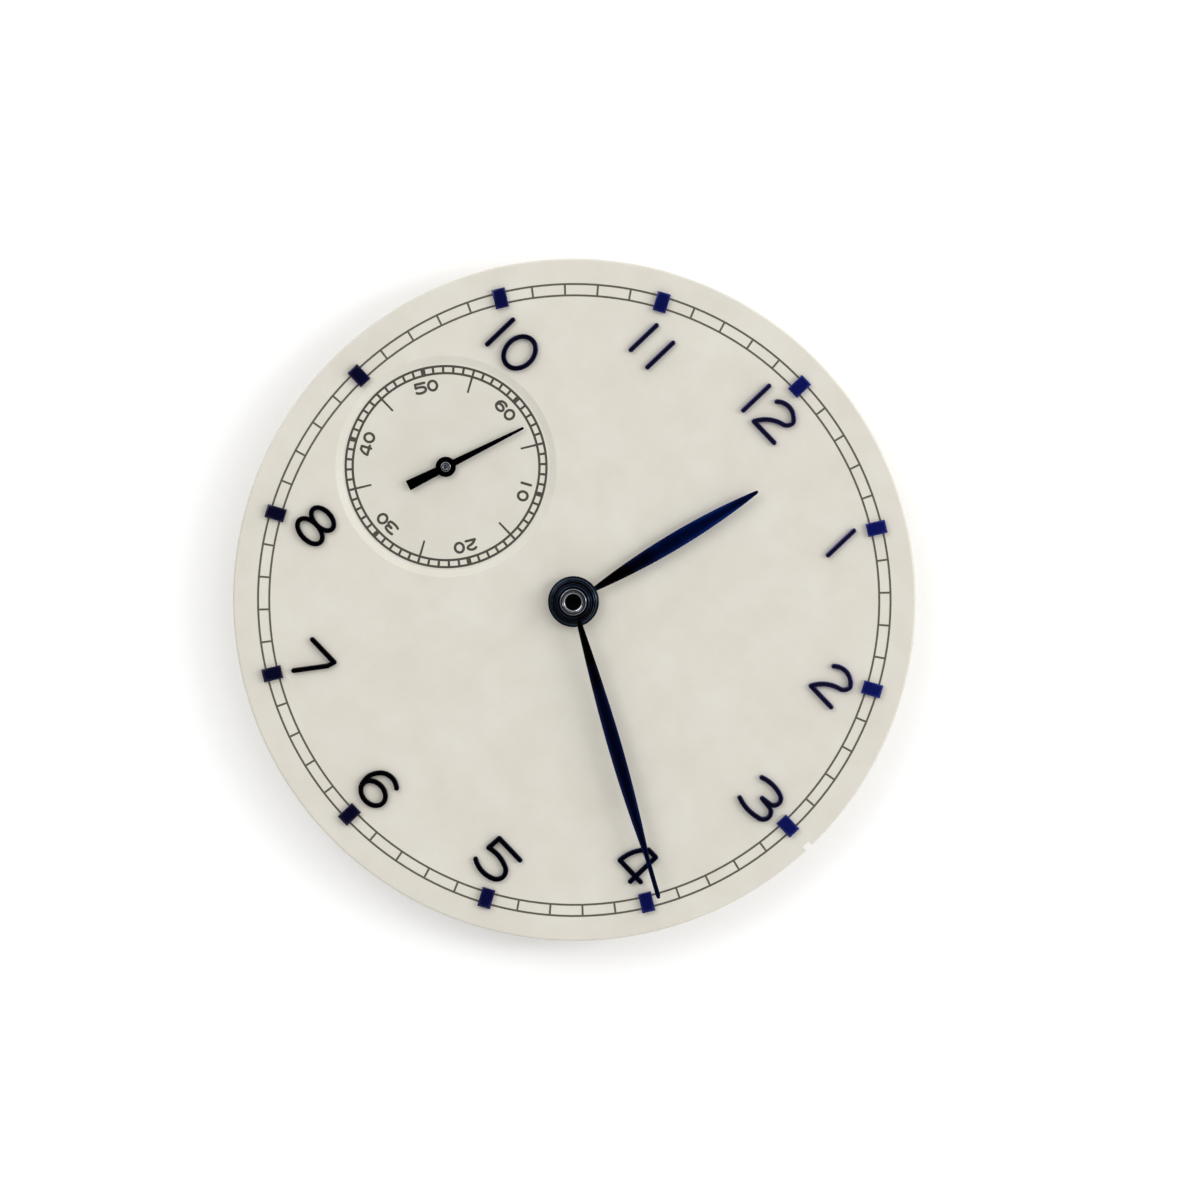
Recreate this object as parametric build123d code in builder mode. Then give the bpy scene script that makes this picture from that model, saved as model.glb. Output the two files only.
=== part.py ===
from build123d import *
import os
from math import cos, radians, sin

# Watch dial with its hands, on the main plate that carries it, with the motion works between.
# +Z points out of the dial face, 12 o'clock is +Y and 3 o'clock is +X.
# The origin is the centre of the main plate's underside. All sizes are millimetres.

os.makedirs("parts", exist_ok=True)

# Dial: it stands over the main plate's rim all round
dial_overhang = 1.15
dial_thickness = 0.40
dial_edge_round = 0.12
dial_centre_hole_radius = 1.20
dial_seconds_hole_radius = 0.50
notch_width = 0.45
notch_depth = 0.30

# Minute track and hour markers
track_margin = 1.44
track_width = 0.64
track_line_width = 0.09
print_height = 0.02
marker_length = 1.12
marker_width = 0.76
marker_rise = 0.32
marker_bevel = 0.08
marker_gap = 0.03

# Applied numerals: height from centre line to centre line of the stroke
numeral_height = 2.00
numeral_stroke = 0.29
numeral_rise = 0.28
pin_radius = 0.10
pin_gap = 0.02

# Seconds dial at 9 o'clock
seconds_margin = 7.75
seconds_recess_margin = 0.18
seconds_recess_depth = 0.12
seconds_recess_slope = 0.10
seconds_ring_outer_radius = 5.72
seconds_ring_width = 0.40
seconds_line_width = 0.115
seconds_bold_width = 0.26
seconds_long_tick_margin = 1.34
seconds_number_margin = 1.06
seconds_number_height = 0.54
seconds_number_stroke = 0.145
seconds_number_wide_share = 1.15

# Main plate
plate_radius = 18.30
plate_thickness = 2.60
plate_chamfer = 0.15
works_depth = 1.50
works_clearance = 0.40
fit_gap = 0.01
screw_gap = 0.02
running_gap = 0.03
end_play = 0.04
cut_overrun = 1.00

# Dial feet and the screws that grip them from the rim
foot_radius = 0.40
foot_length = 1.80
foot_gap = 0.04
foot_margin = 1.90
foot_angle = 62
foot_screw_radius = 0.30
foot_screw_head_radius = 0.50
foot_screw_head_length = 0.35
foot_screw_head_inset = 0.08
foot_screw_drop = 0.90

# Holes for the two case screws
case_screw_margin = 1.50
case_screw_hole_radius = 0.60
case_screw_hole_depth = 1.40
case_screw_angle = 105

# Underside of the plate: recesses, jewels and bridge screw holes
recess_depth = 0.35
barrel_recess_radius = 7.20
balance_recess_radius = 5.60
train_recess_radius = 4.60
train_jewel_radius = 0.60
train_jewel_bore_radius = 0.10
train_jewel_thickness = 0.30
train_jewel_backing_radius = 0.35
bridge_hole_radius = 0.35
bridge_hole_depth = 1.10

# Motion works
cannon_teeth = 12
minute_teeth = 36
minute_pinion_teeth = 10
hour_teeth = 40
tooth_size = 0.17
wheel_thickness = 0.20
minute_pinion_height = 0.55
leaf_overreach = 0.10
hour_boss_radius = 1.50
hour_boss_height = 0.25
works_centre_distance = (cannon_teeth + minute_teeth) * tooth_size / 2
hour_tooth_size = 2 * works_centre_distance / (hour_teeth + minute_pinion_teeth)
washer_radius = 2.30
washer_thickness = 0.06
washer_gap = 0.06

# Minute wheel post and bridge
post_radius = 0.30
post_seat_radius = 0.75
post_seat_height = 0.12
post_root_length = 0.45
wheel_seat_radius = 0.45
works_bridge_thickness = 0.22
works_bridge_width = 1.80
works_bridge_overhang = 0.75
works_bridge_foot_length = 2.20
works_bridge_foot_width = 4.60
works_bridge_corner = 0.35
works_bridge_gap = 0.10
works_screw_radius = 0.25
works_screw_head_radius = 0.48
works_screw_head_height = 0.18
works_screw_length = 0.90
works_screw_spacing = 2.80
screw_slot_width = 0.12
screw_slot_depth = 0.08

# Centre arbor and cannon pinion
centre_bush_radius = 1.05
centre_journal_radius = 0.60
centre_pinion_height = 0.40
centre_pinion_well_radius = 1.75
pinion_well_depth = 0.50
pinion_clearance = 0.06
arbor_radius = 0.38
cannon_pipe_radius = 0.75
minute_seat_radius = 0.575
cannon_mouth_radius = 0.47
cannon_mouth_depth = 1.30
hour_pipe_radius = 1.00

# Seconds arbor and its jewel
seconds_pinion_teeth = 10
seconds_tooth_size = 0.13
seconds_pinion_well_radius = 1.20
seconds_well_depth = 0.60
seconds_journal_radius = 0.20
seconds_pivot_radius = 0.13
seconds_jewel_radius = 0.70
seconds_jewel_thickness = 0.30
seconds_sink_radius = 0.42
seconds_journal_overreach = 0.15
seconds_journal_bore_gap = 0.02

# Hands and the clock angles they stand at; the minute hand ends just past the track's inner ring
hour_hand_length = 12.20
hour_hand_width = 1.02
hour_hub_radius = 1.45
hour_hand_root_width = 0.26
hour_hand_angle = 12.7
minute_hand_overreach = 0.18
minute_hand_width = 0.84
minute_hub_radius = 1.05
minute_hand_root_width = 0.28
minute_hand_angle = 117.5
hand_tip_width = 0.06
leaf_thickness = 0.14
hub_thickness = 0.20
hour_hand_lift = 0.55
minute_hand_lift = 1.10
bush_rim = 0.04
hour_bush_radius = 1.20
hour_bush_drop = 0.22
minute_bush_radius = 0.75
minute_bush_drop = 0.08
seconds_hand_length = 4.95
seconds_tail_length = 2.40
seconds_hand_width = 0.36
seconds_tip_width = 0.13
seconds_tail_width = 0.60
seconds_tail_root_width = 0.42
seconds_hub_radius = 0.58
seconds_hand_angle = 17
seconds_hand_thickness = 0.10
seconds_hand_lift = 0.24
seconds_pipe_radius = 0.28
seconds_pipe_drop = 0.65
seconds_pipe_rim = 0.05

# Tooth form in shares of the tooth size: half thickness and height past the pitch circle
wheel_half_tooth_share = 0.70
pinion_half_leaf_share = 0.54
wheel_tip_share = 0.90
pinion_tip_share = 0.61
wheel_root_share = 1.15
pinion_root_share = 1.35

# Widest place of each leaf hand as a share of its length
hour_widest_share = 0.555
minute_widest_share = 0.47

# Numerals as runs of straight stretches (2 points) and arcs (3 points), and closed loops
# (centre x, centre y, half width, half height), all in shares of the numeral's height
digit_run_shares = {
    "0": [],
    "1": [[[(0, 0.5), (0, -0.5)]]],
    "2": [[
        [(-0.376, 0.354), (0.033, 0.5), (0.376, 0.283)],
        [(0.376, 0.283), (0.341, 0.136), (0.184, 0.030)],
        [(0.184, 0.030), (-0.24, -0.235), (-0.417, -0.5)],
        [(-0.417, -0.5), (0.417, -0.5)],
    ]],
    "3": [
        [
            [(-0.474, 0.417), (-0.094, 0.5), (0.245, 0.453)],
            [(0.245, 0.453), (0.396, 0.266), (0.255, 0.0625)],
            [(0.255, 0.0625), (-0.036, 0.016)],
        ],
        [
            [(-0.036, 0.016), (0.255, -0.005)],
            [(0.255, -0.005), (0.484, -0.234), (0.271, -0.448)],
            [(0.271, -0.448), (-0.094, -0.5), (-0.484, -0.432)],
        ],
    ],
    "4": [
        [[(0.218, 0.5), (0.218, -0.5)]],
        [
            [(0.218, 0.5), (-0.074, 0.5)],
            [(-0.074, 0.5), (-0.29, 0.218), (-0.428, -0.299)],
            [(-0.428, -0.299), (0.428, -0.299)],
        ],
    ],
    "5": [[
        [(0.443, 0.5), (-0.417, 0.5)],
        [(-0.417, 0.5), (-0.433, 0.096)],
        [(-0.433, 0.096), (-0.06, 0.142), (0.262, 0.07)],
        [(0.262, 0.07), (0.453, -0.174), (0.313, -0.412)],
        [(0.313, -0.412), (0.023, -0.5), (-0.453, -0.396)],
    ]],
    "6": [[
        [(0.386, 0.388), (0.05, 0.5), (-0.30, 0.30)],
        [(-0.30, 0.30), (-0.42, -0.034), (-0.333, -0.34)],
    ]],
    "7": [[
        [(-0.449, 0.5), (0.449, 0.5)],
        [(0.449, 0.5), (0.395, 0.295)],
        [(0.395, 0.295), (-0.176, -0.5)],
    ]],
    "8": [],
}
digit_loop_shares = {
    "0": [(0, 0, 0.398, 0.5)],
    "6": [(0.027, -0.194, 0.393, 0.308)],
    "8": [(0, 0.262, 0.391, 0.238), (0, -0.238, 0.433, 0.262)],
}

# Places of the two fixing pins behind each digit
digit_pin_shares = {
    "0": [(0, 0.5), (0, -0.5)],
    "1": [(0, 0.3), (0, -0.3)],
    "2": [(0.033, 0.5), (0, -0.5)],
    "3": [(-0.094, 0.5), (-0.094, -0.5)],
    "4": [(0.218, 0.4), (-0.2, -0.299)],
    "5": [(0.1, 0.5), (0.023, -0.5)],
    "6": [(0.05, 0.5), (0.027, -0.502)],
    "7": [(0, 0.5), (0.0524, -0.182)],
    "8": [(0, 0.5), (0, -0.5)],
}

# Centres of the hour numerals in shares of the track's inner radius
numeral_place_shares = {
    "1": (0.464, 0.765),
    "2": (0.784, 0.4295),
    "3": (0.898, 0),
    "4": (0.770, -0.443),
    "5": (0.444, -0.773),
    "6": (0, -0.891),
    "7": (-0.448, -0.766),
    "8": (-0.762, -0.441),
    "10": (-0.757, 0.433),
    "11": (-0.427, 0.760),
    "12": (-0.021, 0.890),
}

# Distance between the two digits of a number in shares of the numeral's height
digit_step_shares = {"10": 0.80, "11": 0.68, "12": 0.85}
seconds_digit_step_share = 1.30

# Places under the plate in shares of the plate's radius
barrel_recess_share = (0.300, 0.430)
balance_recess_share = (-0.197, -0.546)
train_recess_share = (-0.470, 0.190)
train_jewel_shares = [(-0.306, 0.251), (-0.601, -0.240), (-0.437, -0.393), (-0.197, -0.546)]
bridge_hole_shares = [
    (0.765, 0.150), (0.150, 0.870), (-0.230, 0.610),
    (-0.790, 0.270), (-0.560, -0.640), (0.210, -0.560),
]

# Radii and levels worked out from the sizes above
dial_radius = plate_radius + dial_overhang
track_outer_radius = dial_radius - track_margin
track_inner_radius = track_outer_radius - track_width
seconds_offset = plate_radius - seconds_margin
seconds_recess_radius = seconds_ring_outer_radius + seconds_recess_margin
seconds_ring_inner_radius = seconds_ring_outer_radius - seconds_ring_width
seconds_long_tick_radius = seconds_ring_outer_radius - seconds_long_tick_margin
seconds_number_radius = seconds_ring_outer_radius - seconds_number_margin
minute_hand_length = track_inner_radius + minute_hand_overreach
foot_circle_radius = plate_radius - foot_margin
case_screw_circle_radius = plate_radius - case_screw_margin
works_floor = plate_thickness - works_depth
dial_top = plate_thickness + dial_thickness
recess_floor = dial_top - seconds_recess_depth
minute_wheel_level = works_floor + post_seat_height + end_play
minute_wheel_top = minute_wheel_level + wheel_thickness
minute_pinion_top = minute_wheel_top + minute_pinion_height
works_bridge_level = minute_pinion_top + end_play
works_bridge_top = works_bridge_level + works_bridge_thickness
cannon_level = works_floor + end_play
cannon_leaf_top = minute_wheel_top + leaf_overreach
hour_wheel_level = cannon_leaf_top + end_play
hour_wheel_top = hour_wheel_level + wheel_thickness
hour_boss_top = hour_wheel_top + hour_boss_height
hour_hand_level = dial_top + hour_hand_lift
hour_hand_top = hour_hand_level + hub_thickness
hour_pipe_top = hour_hand_top + bush_rim
minute_hand_level = dial_top + minute_hand_lift
minute_hand_top = minute_hand_level + hub_thickness
minute_bush_level = minute_hand_level - minute_bush_drop
cannon_top = minute_hand_top + bush_rim
seconds_hand_level = recess_floor + seconds_hand_lift
seconds_hand_top = seconds_hand_level + seconds_hand_thickness
seconds_arbor_top = seconds_hand_top + seconds_pipe_rim
pinion_level = pinion_clearance
pinion_top = pinion_level + centre_pinion_height
track_radius = (track_inner_radius + track_outer_radius) / 2
hour_tip_radius = (hour_teeth / 2 + wheel_tip_share) * hour_tooth_size
minute_tip_radius = (minute_teeth / 2 + wheel_tip_share) * tooth_size
seconds_centre = (-seconds_offset, 0)
post_centre = (works_centre_distance, 0)
minutes = 60
hours = 12
full_turn = 360


def finish(piece, name):
    """Label a finished piece and write it under its own name."""
    piece.part.label = name
    export_step(piece.part, "parts/" + name + ".step")


def clock_plane(angle, level, centre=(0, 0)):
    """A level plane whose +Y points at a clock angle, counted clockwise from 12."""
    turn = radians(angle)
    return Plane(origin=(*centre, level), x_dir=(cos(turn), -sin(turn), 0), z_dir=(0, 0, 1))


def rim_plane(angle, radius, level):
    """An upright plane at a radius whose normal points outwards at an angle from +X."""
    turn = radians(angle)
    place = (radius * cos(turn), radius * sin(turn), level)
    return Plane(origin=place, x_dir=(-sin(turn), cos(turn), 0), z_dir=(cos(turn), sin(turn), 0))


def on_plate(share):
    """A place under the plate from its shares of the plate's radius."""
    return (share[0] * plate_radius, share[1] * plate_radius)


def numeral_place(name):
    """The centre of an hour numeral on the dial."""
    share_x, share_y = numeral_place_shares[name]
    return (share_x * track_inner_radius, share_y * track_inner_radius)


def digit_offsets(name, step):
    """Each digit of a number with its distance from the number's centre."""
    half = (len(name) - 1) / 2
    return [(sign, (index - half) * step) for index, sign in enumerate(name)]


def numeral_digits(name):
    """Each digit of an hour numeral with its place on the dial."""
    centre_x, centre_y = numeral_place(name)
    step = digit_step_shares.get(name, 0) * numeral_height
    return [(sign, (centre_x + shift, centre_y)) for sign, shift in digit_offsets(name, step)]


def numeral_pins(name):
    """Places of the fixing pins of an hour numeral."""
    return [
        (x + share_x * numeral_height, y + share_y * numeral_height)
        for sign, (x, y) in numeral_digits(name)
        for share_x, share_y in digit_pin_shares[sign]
    ]


def digit_face(sign, height, stroke, wide_share=1):
    """A digit drawn with one even stroke, centred on the origin."""
    wide = height * wide_share
    with BuildSketch() as face:
        for run in digit_run_shares.get(sign, []):
            with BuildLine(mode=Mode.PRIVATE) as path:
                for stretch in run:
                    spots = [(x * wide, y * height) for x, y in stretch]
                    if len(spots) == 2:
                        Line(*spots)
                    else:
                        ThreePointArc(*spots)
            SlotArc(path.wire(), stroke)
        loops = digit_loop_shares.get(sign, [])
        for x, y, half_wide, half_tall in loops:
            with Locations((x * wide, y * height)):
                Ellipse(half_wide * wide + stroke / 2, half_tall * height + stroke / 2)
        for x, y, half_wide, half_tall in loops:
            with Locations((x * wide, y * height)):
                inner = (half_wide * wide - stroke / 2, half_tall * height - stroke / 2)
                Ellipse(*inner, mode=Mode.SUBTRACT)
    return face.sketch


def tooth_face(pitch_radius, half_tooth, tip_radius, root_radius):
    """One tooth that points along +X, with straight flanks and a round top."""
    half_root = half_tooth * root_radius / pitch_radius
    start = root_radius * cos(half_root / root_radius)
    with BuildSketch() as face:
        with BuildLine():
            Line((start, -half_root), (pitch_radius, -half_tooth))
            ThreePointArc((pitch_radius, -half_tooth), (tip_radius, 0), (pitch_radius, half_tooth))
            Line((pitch_radius, half_tooth), (start, half_root))
            Line((start, half_root), (start, -half_root))
        make_face()
    return face.sketch


def gear_face(teeth, size, half_share, tip_share, root_share, level, centre, phase):
    """A toothed outline; a tooth points towards phase, counted anticlockwise from +X."""
    pitch_radius = teeth * size / 2
    root_radius = pitch_radius - root_share * size
    tip_radius = pitch_radius + tip_share * size
    tooth = tooth_face(pitch_radius, half_share * size, tip_radius, root_radius)
    with BuildSketch(clock_plane(-phase, level, centre)) as face:
        Circle(root_radius)
        with PolarLocations(0, teeth):
            add(tooth)
    return face.sketch


def wheel_face(teeth, size, level, centre=(0, 0), phase=0):
    """A wheel's toothed outline."""
    shares = (wheel_half_tooth_share, wheel_tip_share, wheel_root_share)
    return gear_face(teeth, size, *shares, level, centre, phase)


def pinion_face(teeth, size, level, centre=(0, 0), phase=0):
    """A pinion's leaved outline."""
    shares = (pinion_half_leaf_share, pinion_tip_share, pinion_root_share)
    return gear_face(teeth, size, *shares, level, centre, phase)


def disc(radius, level, centre=(0, 0)):
    """A round outline at a level."""
    with BuildSketch(Plane(origin=(*centre, level))) as face:
        Circle(radius)
    return face.sketch


def ring(outer, inner, level, centre=(0, 0)):
    """A ring outline at a level."""
    with BuildSketch(Plane(origin=(*centre, level))) as face:
        Circle(outer)
        Circle(inner, mode=Mode.SUBTRACT)
    return face.sketch


def railroad(inner, outer, line, level, centre=(0, 0)):
    """Two thin rings with sixty ticks between them."""
    with BuildSketch(Plane(origin=(*centre, level))) as face:
        for radius in (outer, inner):
            Circle(radius + line / 2)
            Circle(radius - line / 2, mode=Mode.SUBTRACT)
        with PolarLocations((inner + outer) / 2, minutes):
            Rectangle(outer - inner, line)
    return face.sketch


def ticks(inner, outer, wide, count, start, level, centre=(0, 0)):
    """Radial bars from one radius to another, the first at a clock angle."""
    with BuildSketch(clock_plane(start, level, centre)) as face:
        with PolarLocations((inner + outer) / 2, count, start_angle=full_turn / 4):
            Rectangle(outer - inner, wide)
    return face.sketch


def leaf_face(length, widest_share, wide, root, hub, angle, level):
    """A leaf hand's outline: a round hub and a blade that swells and runs to a fine tip."""
    start = hub - root / 2
    widest = (wide / 2, widest_share * length)
    with BuildSketch(clock_plane(angle, level)) as face:
        with BuildLine():
            right = ThreePointArc((root / 2, start), widest, (hand_tip_width / 2, length))
            left = ThreePointArc((-root / 2, start), (-widest[0], widest[1]), (-hand_tip_width / 2, length))
            Line(right @ 0, left @ 0)
            Line(right @ 1, left @ 1)
        make_face()
        Circle(hub)
    return face.sketch


# Main plate, with the hollow for the motion works above and the train's recesses below
works_bridge_end = works_centre_distance + minute_tip_radius + works_clearance + works_bridge_foot_length
works_foot_centre = works_bridge_end - works_bridge_foot_length / 2
with BuildPart() as main_plate:
    Cylinder(plate_radius, plate_thickness, align=(Align.CENTER, Align.CENTER, Align.MIN))
    chamfer(main_plate.edges().filter_by(GeomType.CIRCLE), plate_chamfer)
    extrude(disc(hour_tip_radius + works_clearance, works_floor), works_depth, mode=Mode.SUBTRACT)
    minute_hollow = disc(minute_tip_radius + works_clearance, works_floor, post_centre)
    extrude(minute_hollow, works_depth, mode=Mode.SUBTRACT)
    pocket_length = works_bridge_foot_length + 2 * works_bridge_gap
    pocket_width = works_bridge_foot_width + 2 * works_bridge_gap
    with BuildSketch(Plane.XY.offset(works_bridge_level)):
        with Locations((works_foot_centre, 0)):
            RectangleRounded(pocket_length, pocket_width, works_bridge_corner)
    extrude(amount=plate_thickness - works_bridge_level, mode=Mode.SUBTRACT)
    with Locations(Plane(origin=(works_foot_centre, 0, works_bridge_level))):
        with GridLocations(0, works_screw_spacing, 1, 2):
            Hole(works_screw_radius + screw_gap, works_screw_length + end_play)
    with Locations((*post_centre, works_floor)):
        Hole(post_radius + fit_gap, post_root_length)
    extrude(disc(centre_bush_radius + fit_gap, 0), works_floor, mode=Mode.SUBTRACT)
    extrude(disc(centre_pinion_well_radius, 0), pinion_well_depth, mode=Mode.SUBTRACT)
    extrude(disc(seconds_pinion_well_radius, 0, seconds_centre), seconds_well_depth, mode=Mode.SUBTRACT)
    jewel_seat = disc(seconds_jewel_radius + fit_gap, seconds_well_depth, seconds_centre)
    extrude(jewel_seat, seconds_jewel_thickness, mode=Mode.SUBTRACT)
    extrude(disc(seconds_sink_radius, 0, seconds_centre), plate_thickness, mode=Mode.SUBTRACT)
    for share, radius in [
        (barrel_recess_share, barrel_recess_radius),
        (balance_recess_share, balance_recess_radius),
        (train_recess_share, train_recess_radius),
    ]:
        extrude(disc(radius, 0, on_plate(share)), recess_depth, mode=Mode.SUBTRACT)
    for share in train_jewel_shares:
        extrude(
            disc(train_jewel_radius + fit_gap, 0, on_plate(share)),
            recess_depth + train_jewel_thickness, mode=Mode.SUBTRACT,
        )
        extrude(disc(train_jewel_backing_radius, 0, on_plate(share)), works_floor, mode=Mode.SUBTRACT)
    for share in bridge_hole_shares:
        extrude(disc(bridge_hole_radius, 0, on_plate(share)), bridge_hole_depth, mode=Mode.SUBTRACT)
    with PolarLocations(foot_circle_radius, 2, start_angle=foot_angle):
        with Locations((0, 0, plate_thickness)):
            Hole(foot_radius + foot_gap, foot_length + foot_gap)
    for side in range(2):
        angle = foot_angle + side * full_turn / 2
        foot_reach = rim_plane(angle, foot_circle_radius, plate_thickness - foot_screw_drop)
        with BuildSketch(foot_reach):
            Circle(foot_screw_radius + screw_gap)
        extrude(amount=plate_radius - foot_circle_radius, mode=Mode.SUBTRACT)
        head_reach = foot_screw_head_length + foot_screw_head_inset
        with BuildSketch(rim_plane(angle, plate_radius - head_reach, plate_thickness - foot_screw_drop)):
            Circle(foot_screw_head_radius + foot_gap)
        extrude(amount=head_reach + cut_overrun, mode=Mode.SUBTRACT)
    for side in range(2):
        angle = radians(case_screw_angle + side * full_turn / 2)
        spot = (case_screw_circle_radius * cos(angle), case_screw_circle_radius * sin(angle))
        extrude(disc(case_screw_hole_radius, 0, spot), case_screw_hole_depth, mode=Mode.SUBTRACT)
finish(main_plate, "main_plate")

# Jewels and bushes set in the plate
with BuildPart() as train_jewels:
    for share in train_jewel_shares:
        jewel = ring(train_jewel_radius, train_jewel_bore_radius, recess_depth, on_plate(share))
        extrude(jewel, train_jewel_thickness)
finish(train_jewels, "train_jewels")

seconds_bore_radius = seconds_journal_radius + seconds_journal_bore_gap
with BuildPart() as seconds_jewel:
    jewel = ring(seconds_jewel_radius, seconds_bore_radius, seconds_well_depth, seconds_centre)
    extrude(jewel, seconds_jewel_thickness)
finish(seconds_jewel, "seconds_jewel")

with BuildPart() as centre_bush:
    bush = ring(centre_bush_radius, centre_journal_radius + running_gap, pinion_well_depth)
    extrude(bush, works_floor - pinion_well_depth)
finish(centre_bush, "centre_bush")

# Dial plate, with the sunk seconds dial, the notch at 3 and the holes for the pins behind it
marker_turns = [radians(hour * full_turn / hours) for hour in range(1, hours + 1)]
marker_centres = [(track_radius * sin(turn), track_radius * cos(turn)) for turn in marker_turns]
pin_places = marker_centres + [place for name in numeral_place_shares for place in numeral_pins(name)]
with BuildPart() as dial_plate:
    extrude(disc(dial_radius, plate_thickness), dial_thickness)
    fillet(dial_plate.edges().filter_by(GeomType.CIRCLE).sort_by(Axis.Z)[-1], dial_edge_round)
    with BuildSketch(Plane(origin=(*seconds_centre, recess_floor))):
        Circle(seconds_recess_radius)
    with BuildSketch(Plane(origin=(*seconds_centre, dial_top))):
        Circle(seconds_recess_radius + seconds_recess_slope)
    loft(mode=Mode.SUBTRACT)
    extrude(disc(dial_centre_hole_radius, plate_thickness), dial_thickness, mode=Mode.SUBTRACT)
    seconds_hole = disc(dial_seconds_hole_radius, plate_thickness, seconds_centre)
    extrude(seconds_hole, dial_thickness, mode=Mode.SUBTRACT)
    with BuildSketch(Plane.XY.offset(plate_thickness)):
        with Locations((dial_radius, 0)):
            Rectangle(2 * notch_depth, notch_width)
    extrude(amount=dial_thickness, mode=Mode.SUBTRACT)
    with BuildSketch(Plane.XY.offset(plate_thickness)):
        with Locations(*pin_places):
            Circle(pin_radius + pin_gap)
    extrude(amount=dial_thickness, mode=Mode.SUBTRACT)
finish(dial_plate, "dial_plate")

with BuildPart() as dial_feet:
    with BuildSketch(Plane.XY.offset(plate_thickness)):
        with PolarLocations(foot_circle_radius, 2, start_angle=foot_angle):
            Circle(foot_radius)
    extrude(amount=-foot_length)
finish(dial_feet, "dial_feet")

# Two slotted screws that come in from the rim and press on the dial feet
foot_screw_length = plate_radius - foot_screw_head_inset - foot_circle_radius - foot_radius
with BuildPart() as dial_foot_screws:
    for side in range(2):
        angle = foot_angle + side * full_turn / 2
        level = plate_thickness - foot_screw_drop
        with BuildSketch(rim_plane(angle, foot_circle_radius + foot_radius, level)):
            Circle(foot_screw_radius)
        extrude(amount=foot_screw_length)
        outer = foot_circle_radius + foot_radius + foot_screw_length
        with BuildSketch(rim_plane(angle, outer, level)):
            Circle(foot_screw_head_radius)
        extrude(amount=-foot_screw_head_length)
        with BuildSketch(rim_plane(angle, outer, level)):
            Rectangle(screw_slot_width, 2 * foot_screw_head_radius)
        extrude(amount=-screw_slot_depth, mode=Mode.SUBTRACT)
finish(dial_foot_screws, "dial_foot_screws")

# Printed minute track, left open where the hour markers stand
with BuildPart() as minute_track_print:
    extrude(railroad(track_inner_radius, track_outer_radius, track_line_width, dial_top), print_height)
    half_marker = marker_length / 2 + marker_gap
    seats = ticks(
        track_radius - half_marker, track_radius + half_marker,
        marker_width + 2 * marker_gap, hours, 0, dial_top,
    )
    extrude(seats, print_height, mode=Mode.SUBTRACT)
finish(minute_track_print, "minute_track_print")

# Printed seconds track, its long and bold ticks, and its numbers with their tops outwards
long_tick_count = 6
with BuildPart() as seconds_track_print:
    rings = railroad(
        seconds_ring_inner_radius, seconds_ring_outer_radius, seconds_line_width,
        recess_floor, seconds_centre,
    )
    extrude(rings, print_height)
    long_ticks = ticks(
        seconds_long_tick_radius, seconds_ring_inner_radius, seconds_line_width,
        long_tick_count, full_turn / hours, recess_floor, seconds_centre,
    )
    extrude(long_ticks, print_height)
    bold_ticks = ticks(
        seconds_ring_inner_radius, seconds_ring_outer_radius, seconds_bold_width,
        long_tick_count, 0, recess_floor, seconds_centre,
    )
    extrude(bold_ticks, print_height)
    for index, name in enumerate(["60", "10", "20", "30", "40", "50"]):
        angle = index * full_turn / long_tick_count
        with BuildSketch(clock_plane(angle, recess_floor, seconds_centre)):
            for sign, shift in digit_offsets(name, seconds_digit_step_share * seconds_number_height):
                with Locations((shift, seconds_number_radius)):
                    add(digit_face(
                        sign, seconds_number_height, seconds_number_stroke, seconds_number_wide_share,
                    ))
        extrude(amount=print_height)
finish(seconds_track_print, "seconds_track_print")

# Applied hour markers, each a bevelled bar with one pin through the dial
for hour in range(1, hours + 1):
    centre = marker_centres[hour - 1]
    with BuildPart() as hour_marker:
        with BuildSketch(clock_plane(hour * full_turn / hours, dial_top, centre)):
            Rectangle(marker_width, marker_length)
        extrude(amount=marker_rise)
        chamfer(hour_marker.faces().sort_by(Axis.Z)[-1].edges(), marker_bevel)
        extrude(disc(pin_radius, plate_thickness, centre), dial_thickness)
    finish(hour_marker, f"hour_marker_{hour:02d}")

# Applied numerals, each digit held by two pins through the dial
for name in numeral_place_shares:
    with BuildPart() as numeral:
        with BuildSketch(Plane.XY.offset(dial_top)):
            for sign, place in numeral_digits(name):
                with Locations(place):
                    add(digit_face(sign, numeral_height, numeral_stroke))
        extrude(amount=numeral_rise)
        with BuildSketch(Plane.XY.offset(plate_thickness)):
            with Locations(*numeral_pins(name)):
                Circle(pin_radius)
        extrude(amount=dial_thickness)
    finish(numeral, f"numeral_{name}")

# Centre arbor: the driven pinion in its well, the journal in its bush and the slim upper arbor
arbor_top = cannon_top - cannon_mouth_depth
with BuildPart() as centre_arbor:
    extrude(pinion_face(cannon_teeth, tooth_size, pinion_level), centre_pinion_height)
    extrude(disc(centre_journal_radius, pinion_top), cannon_level - pinion_top)
    extrude(disc(arbor_radius, cannon_level), arbor_top - cannon_level)
finish(centre_arbor, "centre_arbor")

# Cannon pinion: twelve leaves below, a pipe for the hour wheel, and the minute hand's seat on top
with BuildPart() as cannon_pinion:
    extrude(pinion_face(cannon_teeth, tooth_size, cannon_level), cannon_leaf_top - cannon_level)
    extrude(disc(cannon_pipe_radius, cannon_leaf_top), minute_bush_level - cannon_leaf_top)
    extrude(disc(minute_seat_radius, minute_bush_level), cannon_top - minute_bush_level)
    extrude(disc(arbor_radius + fit_gap, cannon_level), arbor_top - cannon_level, mode=Mode.SUBTRACT)
    extrude(disc(cannon_mouth_radius, arbor_top), cannon_mouth_depth, mode=Mode.SUBTRACT)
finish(cannon_pinion, "cannon_pinion")

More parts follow.
